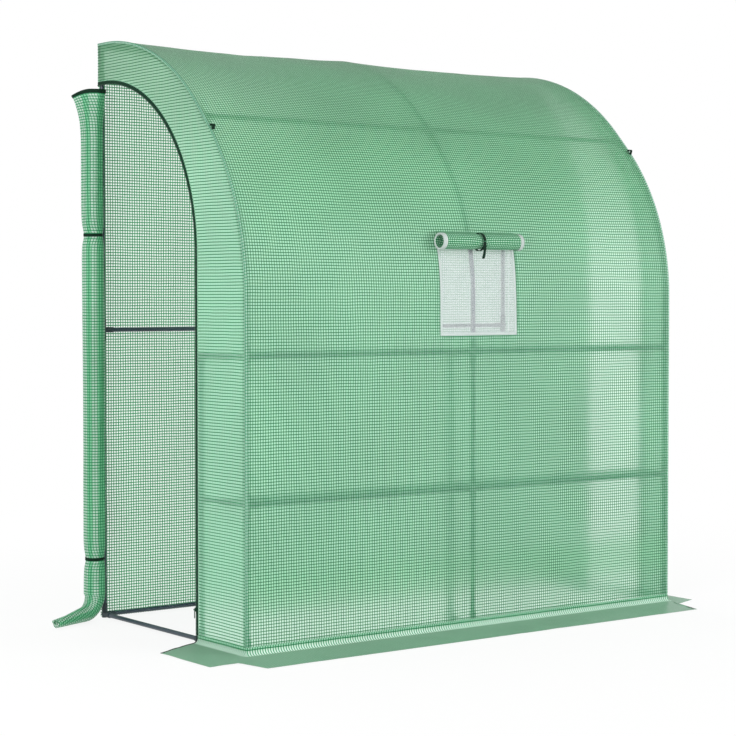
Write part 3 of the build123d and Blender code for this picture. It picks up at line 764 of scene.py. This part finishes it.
def corner_seam(name, side):
    """Folded seam along a front and roof corner: a flat on each sheet and a raised edge."""
    rows = steps(LAP_TOP - WALL_BASE + 1.0, END_S, 24.0, WALL_LENGTH, HIGH_S, FLAT_S)
    section = (
        (993.5, SKIN_OUT + 0.1),
        (997.0, SKIN_OUT + 0.4),
        (1000.0, SKIN_OUT + 1.3),
        (1001.2, SKIN_OUT + 0.5),
        (1000.8, SKIN_OUT - 3.0),
        (1000.15, SKIN_OUT - 7.0),
    )
    lines = []
    for x, offset in section:
        line = []
        for s in rows:
            y, z, _, _ = skin_at(s, offset)
            line.append((side * x, y, z))
        lines.append(line)
    return strip(name, lines, (0, 4, 7, 8, 12, 16), film_seam, "frame")


left_seam = corner_seam("left_corner_seam", -1)
right_seam = corner_seam("right_corner_seam", 1)

# Ground skirt: laps on the walls, folds out and lies on the ground


def skirt_stations():
    """Places along the skirt: wall point, outward way and the outer edge's point on the ground."""
    made = []

    def run(wall_a, wall_b, out_a, out_b, way_a, way_b, count):
        for i in range(count):
            t = i / count
            turn = way_a + (way_b - way_a) * t
            wall = tuple(wall_a[k] + (wall_b[k] - wall_a[k]) * t for k in (0, 1))
            edge = tuple(out_a[k] + (out_b[k] - out_a[k]) * t for k in (0, 1))
            made.append((wall, turn, edge))

    left, front_way, right = math.pi, 1.5 * math.pi, 2 * math.pi
    middle_left, middle_right = 1.25 * math.pi, 1.75 * math.pi
    run((-1000, -185), (-1000, -500), (-1205, -280), (-1205, -595), left, left, 16)
    run((-1000, -500), (-1000, -500), (-1205, -595), (-1095, -595), left, middle_left, 6)
    run((-1000, -500), (-1000, -500), (-1095, -595), (-1065, -725), middle_left, front_way, 6)
    run((-1000, -500), (1000, -500), (-1065, -725), (935, -725), front_way, front_way, 84)
    run((1000, -500), (1000, -500), (935, -725), (955, -595), front_way, middle_right, 6)
    run((1000, -500), (1000, -500), (955, -595), (1095, -545), middle_right, right, 6)
    run((1000, -500), (1000, -348), (1095, -545), (1095, -348), right, right, 9)
    made.append(((1000, -348), right, (1095, -348)))
    return made


stations = skirt_stations()
fold_turns = [i / 8 * math.pi / 2 for i in range(9)]
flat_shares = [(i / 9) for i in range(1, 10)]
skirt_points, skirt_uvs, edge_line, door_edge = [], [], [], []
run = 0.0
for k, (wall, turn, edge) in enumerate(stations):
    out = (math.cos(turn), math.sin(turn))
    if k:
        run += math.dist(edge, stations[k - 1][2])
    row = [(wall[0] + out[0] * 0.7, wall[1] + out[1] * 0.7, z) for z in (LAP_TOP, 22.0)]
    for a in fold_turns:
        d = FOLD * (1 - math.cos(a)) + 0.7 * math.cos(a)
        row.append((wall[0] + out[0] * d, wall[1] + out[1] * d, FOLD * (1 - math.sin(a)) + 0.8))
    root = (wall[0] + out[0] * FOLD, wall[1] + out[1] * FOLD)
    for t in flat_shares:
        x = root[0] + (edge[0] - root[0]) * t
        y = root[1] + (edge[1] - root[1]) * t
        lift = max(0.0, ripple(x, y, 31, 130) * 5.0 + ripple(x, y, 32, 45) * 1.5) * math.sin(math.pi * min(1.0, t * 0.8))
        row.append((x, y, 0.8 + lift))
    length = 0.0
    for i, p in enumerate(row):
        if i:
            length += math.dist(p, row[i - 1])
        skirt_points.append(p)
        skirt_uvs.append((run / 1000, length / 1000))
    edge_line.append(row[-1])
    if k == 0:
        door_edge = row
width = 2 + len(fold_turns) + len(flat_shares)
skirt_kinds = [1, 1] + [2] * (len(fold_turns) - 1) + [0] * len(flat_shares)
skirt = piece(
    "ground_skirt_film",
    skirt_points,
    grid_faces(len(stations), width),
    skirt_uvs,
    [film_ground, film_double, film_fold],
    "frame",
    skirt_kinds * (len(stations) - 1),
)
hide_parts("ground_skirt")
binding_in = [(p[0], p[1] - 9.0, p[2] + 0.6) for p in door_edge]
binding_top = [(p[0], p[1] - 1.0, p[2] + 1.0) for p in door_edge]
binding_out = [(p[0], p[1] + 1.2, p[2]) for p in door_edge]
binding = strip("skirt_edge_binding", [binding_in, binding_top, binding_out], (2.0, 10.0, 13.0), strap, "frame")

# Window net and its border tape

net_x = steps(WINDOW[0] - 8, WINDOW[1] + 8, 16.0)
net_s = steps(window_s[0] - 8, window_s[1] + 8, 16.0)
net_panel = piece(
    "window_net_panel",
    [front_point(x, s, SKIN - 1.1) for s in net_s for x in net_x],
    grid_faces(len(net_s), len(net_x)),
    [(x / 1000, s / 1000) for s in net_s for x in net_x],
    [net],
    "frame",
)
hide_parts("window_net")


def window_ring(lap, offset):
    """Points round the window on the film, grown by a lap."""
    x0, x1 = WINDOW[0] - lap, WINDOW[1] + lap
    s0, s1 = window_s[0] - lap, window_s[1] + lap
    ring = []
    for i in range(24):
        ring.append((x0 + (x1 - x0) * i / 24, s0))
    for i in range(24):
        ring.append((x1, s0 + (s1 - s0) * i / 24))
    for i in range(24):
        ring.append((x1 + (x0 - x1) * i / 24, s1))
    for i in range(25):
        ring.append((x0, s1 + (s0 - s1) * i / 24))
    return [front_point(x, s, offset) for x, s in ring]


border = strip(
    "window_border_tape",
    [
        window_ring(6.0, SKIN_OUT + 0.2),
        window_ring(4.5, SKIN_OUT + 0.8),
        window_ring(-4.5, SKIN_OUT + 0.8),
        window_ring(-6.0, SKIN_OUT - 0.5),
    ],
    (0.0, 1.5, 10.5, 12.0),
    white_tape,
    "frame",
)
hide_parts("window_border")


def coil(centre_angle, turns, radius, shrink, count, seed):
    """Section of a wound sheet: angle and radius from its outer end inwards."""
    made = []
    for i in range(count + 1):
        t = i / count
        angle = centre_angle + turns * 2 * math.pi * t
        wander = 1 + 0.03 * math.sin(3 * angle + seed) + 0.02 * math.sin(7 * angle + 2 * seed)
        made.append((angle, radius * (1 - shrink * turns * t) * (wander if t > 0.12 else 1.0)))
    return made


# Window flap, rolled up and hanging from its sewn edge by a short web

FLAP_X = (-177.0, 203.0)
FLAP_Z = 1407.65
FLAP_HINGE_Z = 1444.65
FLAP_TIE_X = 10.0
FLAP_R = 29.9
flap_offset = SKIN_OUT + 0.1 + 1.0 + 0.6 + 1.5 + 30.5


def low_y(z, offset):
    return FRONT_Y + LOW_R - math.sqrt((LOW_R + offset) ** 2 - (z - LOW_Z) ** 2)


FLAP_Y = low_y(FLAP_Z, flap_offset)
FLAP_HINGE_Y = low_y(FLAP_HINGE_Z, SKIN_OUT + 2.3)
hinge_way = math.atan2(FLAP_HINGE_Z - FLAP_Z, FLAP_HINGE_Y - FLAP_Y)
hinge_reach = math.hypot(FLAP_HINGE_Z - FLAP_Z, FLAP_HINGE_Y - FLAP_Y)
flap_start = hinge_way + math.acos(FLAP_R / hinge_reach)


def flap_section(x, grow=0.0, turns=2.3):
    """Points of the flap's section at a place along it, from the hinge over the roll and in."""
    pinch = 1 - 0.10 * math.exp(-(((x - FLAP_TIE_X) / 26.0) ** 2))
    radius = (FLAP_R + 0.5 * ripple(x, 0, 41, 60)) * pinch + grow
    section = []
    for angle, r in coil(flap_start, turns, radius, 0.15, 64, 0.6 + x / 300):
        section.append((FLAP_Y + r * math.cos(angle), FLAP_Z + r * math.sin(angle)))
    web = []
    for i in range(5):
        t = i / 5
        web.append(
            (
                FLAP_HINGE_Y + (section[0][0] - FLAP_HINGE_Y) * t,
                FLAP_HINGE_Z + (section[0][1] - FLAP_HINGE_Z) * t,
            )
        )
    return web + section


def wound_piece(name, places, section_at, to_point, materials, body, row_kinds=None):
    """Sheet wound along a line: one section at each place, with true lengths as its sheet lengths."""
    points, uvs = [], []
    columns = 0
    for place, run in places:
        section = section_at(place)
        columns = len(section)
        length = 0.0
        for i, q in enumerate(section):
            if i:
                length += math.dist(q, section[i - 1])
            points.append(to_point(place, q))
            uvs.append((run / 1000, length / 1000))
    kinds = row_kinds * (len(places) - 1) if row_kinds else None
    return piece(name, points, grid_faces(len(places), columns), uvs, materials, body, kinds)


flap_places = [(x, x - FLAP_X[0]) for x in steps(FLAP_X[0], FLAP_X[1], 9.0)]
flap = wound_piece(
    "window_flap_film", flap_places, flap_section, lambda x, q: (x, q[0], q[1]), [film_rolled], "window_flap"
)
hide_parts("window_flap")


def flap_hem(name, end, inward):
    """White hem wound thick at one end of the flap's roll: a band outside, the end face and the inside."""
    section = ((16.0, 0.5), (0.4, 0.5), (-0.4, -0.8), (-0.4, -4.5), (0.4, -6.0), (14.0, -6.0))
    lines = []
    for along, grow in section:
        radius = FLAP_R + grow
        turns = [2 * math.pi * i / 48 for i in range(49)]
        lines.append(
            [(end + inward * along, FLAP_Y + radius * math.cos(a), FLAP_Z + radius * math.sin(a)) for a in turns]
        )
    return strip(name, lines, (16.0, 0.4, -1.0, -4.7, -6.4, -20.0), white_tape, "window_flap")


flap_hems = [
    flap_hem("window_flap_left_hem", FLAP_X[0], 1),
    flap_hem("window_flap_right_hem", FLAP_X[1], -1),
]


def band_round(name, sections, material, body, closed_uv):
    """Closed flat band: rings of points joined round, one ring for each corner of its section."""
    count = len(sections[0])
    points, uvs, faces = [], [], []
    for j in range(count):
        for ring in sections:
            points.append(ring[j])
            uvs.append((closed_uv * j / count, sections.index(ring) * 0.004))
    wide = len(sections)
    for j in range(count - 1):
        for k in range(wide):
            a = j * wide + k
            b = j * wide + (k + 1) % wide
            faces.append((a, b, b + wide, a + wide))
    faces.append(tuple(range(wide - 1, -1, -1)))
    last = (count - 1) * wide
    faces.append(tuple(last + k for k in range(wide)))
    return piece(name, points, faces, uvs, [material], body)


def flap_tie():
    """Tie round the flap's roll with its tail hanging at the front."""
    path = []
    for i in range(49):
        angle = math.pi + 2 * math.pi * (i / 48) * 0.985
        radius = FLAP_R + 1.8
        out_y, out_z = math.cos(angle), math.sin(angle)
        path.append((FLAP_Y + radius * out_y, FLAP_Z + radius * out_z, out_y, out_z, 0.0))
    path = path[::-1]
    for i in range(1, 15):
        t = i / 14
        path.append((FLAP_Y - FLAP_R - 2.2 - 1.2 * math.sin(2.6 * t), FLAP_Z - 62.0 * t, -1.0, 0.0, 9.0 * t * t))
    rings = []
    for dx, out in ((-5.9, 0.0), (5.9, 0.0), (5.9, 1.3), (-5.9, 1.3)):
        rings.append([(FLAP_TIE_X + dx - lean, y + oy * out, z + oz * out) for y, z, oy, oz, lean in path])
    made = band_round("window_flap_tie_strap", rings, strap, "window_flap", 0.23)
    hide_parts("window_flap_tie")
    return made


flap_strap = flap_tie()

# Left door: a film roll tied twice, its foot curling out over the ground

roll_way = math.atan2(ROLL_HEM[1] - ROLL[1], ROLL_HEM[0] - ROLL[0])
roll_reach = math.hypot(ROLL_HEM[1] - ROLL[1], ROLL_HEM[0] - ROLL[0])
roll_start = roll_way + math.acos(37.0 / roll_reach)
TAIL_OUT = 226.0
TAIL_BEND = 70.0
OPEN_LENGTH = 214.0
PLEAT_WAY = math.radians(151)
CORE_R = 8.0
CORE_OFF = 15.0
ROLL_STEPS = 72
ROLL_TURNS = 1.03
CORE_STEPS = 48


def roll_radius(z):
    """Radius of the upright roll at a height: pinched at the ties, fuller between them, flared on top."""
    radius = 38.0
    if z > ROLL_TOP - 120:
        radius += 3.0 * (z - ROLL_TOP + 120) / 120
    for low, high in ((TIE_HEIGHTS[1], TIE_HEIGHTS[0]), (TIE_HEIGHTS[0], ROLL_TOP - 120)):
        if low < z < high:
            radius += 1.0 * math.sin(math.pi * (z - low) / (high - low)) ** 0.6
    for tie in TIE_HEIGHTS:
        radius -= 4.2 * math.exp(-(((z - tie) / 20.0) ** 2))
    return radius


def roll_path():
    """Places down the roll and out along its tail: middle, way of the section's sides, radius, run."""
    made = []
    for z in reversed(steps(ROLL_FOOT, ROLL_TOP, 17.0, *TIE_HEIGHTS)):
        made.append(((0.0, z), 0.0, roll_radius(z)))
    for i in range(1, 9):
        turn = i / 8 * math.pi / 2
        radius = 38.0 + (29.0 - 38.0) * i / 8
        made.append(((TAIL_BEND * (1 - math.cos(turn)), ROLL_FOOT - TAIL_BEND * math.sin(turn)), turn, radius))
    for i in range(1, 11):
        t = i / 10
        radius = 29.0 + (14.0 - 29.0) * t
        made.append(((TAIL_BEND + (TAIL_OUT - TAIL_BEND) * t, radius + 1.5), math.pi / 2, radius))
    run, places = 0.0, []
    for k, (middle, turn, radius) in enumerate(made):
        if k:
            run += math.dist(middle, made[k - 1][0])
        places.append(((middle, turn, radius, run), run))
    return places


def roll_opening(place):
    """From 0 where the roll is plain to 1 at its top, where the film opens out."""
    (out, height), turn, radius, run = place
    return 0.0 if turn else max(0.0, (height - ROLL_TOP + OPEN_LENGTH) / OPEN_LENGTH) ** 2.2


def roll_section(place, grow=0.0, core=True):
    """One loose turn of film with a pleat on its outer side, then a tight core inside."""
    (out, height), turn, radius, run = place
    size = (radius - 1.0) * (1 + 0.02 * ripple(run, 0, 51, 150)) + grow
    opened = roll_opening(place)
    loose = 0.25 if turn else 1 - max(math.exp(-(((height - tie) / 45.0) ** 2)) for tie in TIE_HEIGHTS)
    section = []
    for i in range(ROLL_STEPS + 1):
        angle = roll_start + ROLL_TURNS * 2 * math.pi * i / ROLL_STEPS
        off = (angle - PLEAT_WAY + math.pi) % (2 * math.pi) - math.pi
        wander = 0.03 * math.sin(3 * angle + run / 420) + 0.025 * math.sin(7 * angle + run / 210)
        r = size * (1 - 0.05 * i / ROLL_STEPS) * (1 + loose * wander)
        r += 4.0 * loose * (1 - min(1.0, opened)) * math.exp(-((off / 0.17) ** 2))
        section.append((r * math.cos(angle), r * math.sin(angle)))
    if core:
        for i in range(1, CORE_STEPS + 1):
            t = i / CORE_STEPS
            inward = min(1.0, t / 0.35)
            inward = inward * inward * (3 - 2 * inward)
            turned = angle + 1.5 * 2 * math.pi * t
            small = r + (CORE_R - r) * inward - 2.5 * t
            middle = CORE_OFF * inward
            x = middle * math.cos(PLEAT_WAY) + small * math.cos(turned)
            y = middle * math.sin(PLEAT_WAY) + small * math.sin(turned)
            section.append((x, y))
    made = []
    for x, y in section:
        side = x * math.cos(PLEAT_WAY) + y * math.sin(PLEAT_WAY)
        stretch = side * (0.85 * opened if side > 0 else 0.1 + 0.2 * opened)
        made.append((x + stretch * math.cos(PLEAT_WAY), y + stretch * math.sin(PLEAT_WAY)))
    return made


def roll_point(place, q):
    """Turns a point of the roll's section into the frame: upright above, leaning over along the tail."""
    (out, height), turn, radius, run = place
    along = (math.cos(TAIL_DIR), math.sin(TAIL_DIR))
    side = (-along[1], along[0])
    a = q[0] * along[0] + q[1] * along[1]
    b = q[0] * side[0] + q[1] * side[1]
    flat = a * math.cos(turn)
    x = ROLL[0] + along[0] * (out + flat) + side[0] * b
    y = ROLL[1] + along[1] * (out + flat) + side[1] * b
    outer = max(0.0, q[0] * math.cos(PLEAT_WAY) + q[1] * math.sin(PLEAT_WAY))
    droop = 16.0 * roll_opening(place) * (outer / 63.0) ** 2
    return (x, y, max(0.8, height + a * math.sin(turn) - droop))


LAPPED_WAYS = ((203, 230), (262, 312))
roll_kinds = []
for i in range(ROLL_STEPS):
    way = math.degrees(roll_start + ROLL_TURNS * 2 * math.pi * (i + 0.5) / ROLL_STEPS) % 360
    roll_kinds.append(int(any(low < way < high for low, high in LAPPED_WAYS)))
roll_kinds += [0] * CORE_STEPS
roll = wound_piece(
    "left_door_film_roll",
    roll_path(),
    roll_section,
    roll_point,
    [film_wound, film_lapped],
    "left_door",
    roll_kinds,
)
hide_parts("left_door_roll")


def roll_web(name, z_low, z_high, out, material, spacing=17.0):
    """Film between the sewn hem and the roll."""
    lines = []
    for i in range(6):
        t = i / 5
        line = []
        for z in steps(z_low, z_high, spacing):
            radius = roll_radius(z) - 1.0
            x = ROLL[0] + radius * math.cos(roll_start)
            y = ROLL[1] + radius * math.sin(roll_start)
            belly = 2.5 * math.sin(math.pi * t) * ripple(z, 0, 52, 220)
            line.append((ROLL_HEM[0] + (x - ROLL_HEM[0]) * t - out, ROLL_HEM[1] + (y - ROLL_HEM[1]) * t + belly, z))
        lines.append(line)
    return strip(name, lines, [9.0 * i for i in range(6)], material, "left_door")


web = roll_web("left_door_web", 130.0, ROLL_TOP - 2.0, 0.0, film_wound)


def roll_zip_edge():
    """The door's own zip tape, wound with the film round the top of the roll."""
    places = []
    for rise in (-14.0, -10.0, -5.0, 1.0):
        z = ROLL_TOP + rise
        places.append((((0.0, z), 0.0, roll_radius(min(z, ROLL_TOP)), 0.0), rise + 14.0))
    made = wound_piece(
        "left_door_zip_edge",
        places,
        lambda place: roll_section(place, 0.7, False),
        roll_point,
        [zip_tape],
        "left_door",
    )
    return made


roll_zip = roll_zip_edge()
web_zip = roll_web("left_door_web_zip_edge", ROLL_TOP - 14.0, ROLL_TOP + 1.0, 0.8, zip_tape, 5.0)


def roll_tie(name, height):
    """Tie round the pinched roll: a flat band, tilted a little."""
    rings = []
    count = 56
    for dz, out in ((-5.6, 0.0), (5.6, 0.0), (5.6, 1.3), (-5.6, 1.3)):
        ring = []
        for i in range(count + 1):
            angle = math.radians(250) + 2 * math.pi * i / count
            radius = 34.0 + out + 0.3 * math.sin(5 * angle)
            tilt = 1.5 * math.sin(angle + 0.6)
            ring.append((ROLL[0] + radius * math.cos(angle), ROLL[1] + radius * math.sin(angle), height + dz + tilt))
        rings.append(ring)
    return band_round(name, rings, strap, "left_door", 0.22)


roll_ties = [roll_tie("left_door_upper_tie", TIE_HEIGHTS[0]), roll_tie("left_door_lower_tie", TIE_HEIGHTS[1])]
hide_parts("left_door_ties")

# Right door, hanging ajar with soft folds, and its own half of the zip


def leaf_top(y, gap=9.0):
    centre = RIGHT_DOOR["edge"] + RIGHT_DOOR["radius"]
    radius = RIGHT_DOOR["radius"] - gap
    return RIGHT_DOOR["spring"] + math.sqrt(max(0.0, radius**2 - (centre - y) ** 2))


def leaf_point(y, z, out=0.0):
    """A point on the hanging leaf: folds that grow away from its sewn edge, then the swing ajar."""
    away = HINGE[1] - y
    grow = min(1.0, away / 260)
    fold = 7.0 * math.sin(2 * math.pi * away / 310 + z / 700) + 4.0 * ripple(y, z, 61, 170)
    x = -grow * fold * 0.8 + out
    side = y - HINGE[1]
    return (
        HINGE[0] + x * math.cos(AJAR) - side * math.sin(AJAR),
        HINGE[1] + x * math.sin(AJAR) + side * math.cos(AJAR),
        z,
    )


LEAF_EDGE = RIGHT_DOOR["edge"] + 9.0
leaf_y = steps(LEAF_EDGE, HINGE[1], 18.0)
leaf_y = [LEAF_EDGE, LEAF_EDGE + 2.0, LEAF_EDGE + 6.0, *leaf_y[1:]]
leaf_rows = 90
leaf_points, leaf_uvs = [], []
for i in range(leaf_rows + 1):
    for y in leaf_y:
        top = leaf_top(y) if y > LEAF_EDGE + 0.01 else RIGHT_DOOR["spring"]
        z = 26.0 + (top - 26.0) * i / leaf_rows
        leaf_points.append(leaf_point(y, z))
        leaf_uvs.append((y / 1000, z / 1000))
leaf = piece(
    "right_door_leaf", leaf_points, grid_faces(leaf_rows + 1, len(leaf_y)), leaf_uvs, [film], "right_door"
)
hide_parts("right_door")


def leaf_band(name, inner, outer, out, material):
    """Band along the leaf's free edge and arch, between two gaps from the doorway."""
    lines = []
    for gap in (inner, (inner + outer) / 2, outer):
        line = []
        centre = RIGHT_DOOR["edge"] + RIGHT_DOOR["radius"]
        radius = RIGHT_DOOR["radius"] - gap
        last = math.acos((centre - (HINGE[1] - 3.0)) / radius)
        for z in steps(26.0, RIGHT_DOOR["spring"], 24.0):
            line.append(leaf_point(RIGHT_DOOR["edge"] + gap, z, out))
        for i in range(1, 49):
            turn = last * i / 48
            line.append(leaf_point(centre - radius * math.cos(turn), RIGHT_DOOR["spring"] + radius * math.sin(turn), out))
        lines.append(line)
    return strip(name, lines, (0.0, (outer - inner) / 2, outer - inner), material, "right_door")


leaf_zip = leaf_band("right_door_zip_edge", 9.0, 19.0, 1.0, zip_tape)
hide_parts("right_door_zip")

# Guy loops of dark webbing on the corner seams

roof_y, roof_z, roof_oy, roof_oz = skin_at(ROOF_S - 73.0, SKIN_OUT + 0.3)
roof_uy, roof_uz = roof_oz, -roof_oy


def guy_loop(name, x_low):
    """Strap bent into a standing loop, sewn down at both ends."""
    path = [(-9.5, 0.9), (-9.8, 3.5), (-8.0, 8.5), (-4.6, 13.4), (0.0, 16.8), (4.6, 13.4), (8.0, 8.5), (9.8, 3.5), (9.5, 0.9)]
    rings = []
    for x, inset in ((x_low, 0.0), (x_low + 12.0, 0.0), (x_low + 12.0, 1.5), (x_low, 1.5)):
        ring = []
        for along, out in path:
            pull = 1 - inset / 12.0
            a, o = along * pull, max(0.6, out * pull)
            ring.append((x, roof_y + roof_uy * a + roof_oy * o, roof_z + roof_uz * a + roof_oz * o))
        rings.append(ring)
    return band_round(name, rings, strap, "frame", 0.05)


loops = [guy_loop("left_guy_strap", -998.0), guy_loop("right_guy_strap", 986.0)]
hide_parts("guy_loops")

# Floor, backdrop and light


def pale_floor():
    """Pale floor that shows as white to the camera and keeps the object's soft shadow."""
    n = Nodes("pale_floor")
    path = n.node("ShaderNodeLightPath")
    seen = n.math("MAXIMUM", path.outputs["Is Camera Ray"], path.outputs["Is Glossy Ray"])
    seen = n.math("MAXIMUM", seen, path.outputs["Is Transmission Ray"])
    matte = n.node("ShaderNodeBsdfDiffuse")
    matte.inputs["Color"].default_value = (0.9, 0.9, 0.9, 1)
    light = n.node("ShaderNodeEmission")
    light.inputs["Color"].default_value = (1, 1, 1, 1)
    light.inputs["Strength"].default_value = 1.0
    away = n.node("ShaderNodeVectorMath", operation="LENGTH")
    n.link(n.object_place(), away.inputs[0])
    glow = n.ramp(away.outputs["Value"], 1.6, 4.0, 0.86, 1.0)
    return n.done(n.blend(n.math("MULTIPLY", seen, glow), matte.outputs[0], light.outputs[0]))


floor_mesh = bpy.data.meshes.new("floor")
reach = 14.0
floor_mesh.from_pydata(
    [(-reach, -reach, -0.0005), (reach, -reach, -0.0005), (reach, reach, -0.0005), (-reach, reach, -0.0005)],
    [],
    [(0, 1, 2, 3)],
)
floor_mesh.materials.append(pale_floor())
floor = bpy.data.objects.new("floor", floor_mesh)
scene.collection.objects.link(floor)

world = bpy.data.worlds.new("studio")
scene.world = world
world.use_nodes = True
tree = world.node_tree
tree.nodes.clear()
world_out = tree.nodes.new("ShaderNodeOutputWorld")
path = tree.nodes.new("ShaderNodeLightPath")
soft = tree.nodes.new("ShaderNodeBackground")
soft.inputs["Color"].default_value = (1.0, 1.0, 1.0, 1)
soft.inputs["Strength"].default_value = 0.7
white = tree.nodes.new("ShaderNodeBackground")
white.inputs["Color"].default_value = (1, 1, 1, 1)
white.inputs["Strength"].default_value = 1.0
choose = tree.nodes.new("ShaderNodeMixShader")
either = tree.nodes.new("ShaderNodeMath")
either.operation = "MAXIMUM"
also = tree.nodes.new("ShaderNodeMath")
also.operation = "MAXIMUM"
tree.links.new(path.outputs["Is Camera Ray"], either.inputs[0])
tree.links.new(path.outputs["Is Glossy Ray"], either.inputs[1])
tree.links.new(either.outputs[0], also.inputs[0])
tree.links.new(path.outputs["Is Transmission Ray"], also.inputs[1])
tree.links.new(also.outputs[0], choose.inputs[0])
tree.links.new(soft.outputs[0], choose.inputs[1])
tree.links.new(white.outputs[0], choose.inputs[2])
tree.links.new(choose.outputs[0], world_out.inputs[0])


def soft_lamp(name, place, target, size, power, gloss=True):
    """Large square studio lamp that looks at a point, with or without its gleam on glossy surfaces."""
    data = bpy.data.lights.new(name, "AREA")
    data.shape = "SQUARE"
    data.size = size
    data.energy = power
    lamp = bpy.data.objects.new(name, data)
    lamp.location = place
    lamp.visible_glossy = gloss
    lamp.rotation_euler = (Vector(target) - Vector(place)).to_track_quat("-Z", "Y").to_euler()
    scene.collection.objects.link(lamp)


soft_lamp("key_lamp", (-7.0, -4.0, 2.4), (0.1, 0.1, 1.0), 4.0, 385)
soft_lamp("fill_lamp", (4.0, -6.2, 2.8), (0.1, 0.1, 1.0), 4.0, 285)
soft_lamp("back_lamp", (1.5, 6.0, 4.0), (0.1, 0.1, 1.2), 4.0, 170, False)
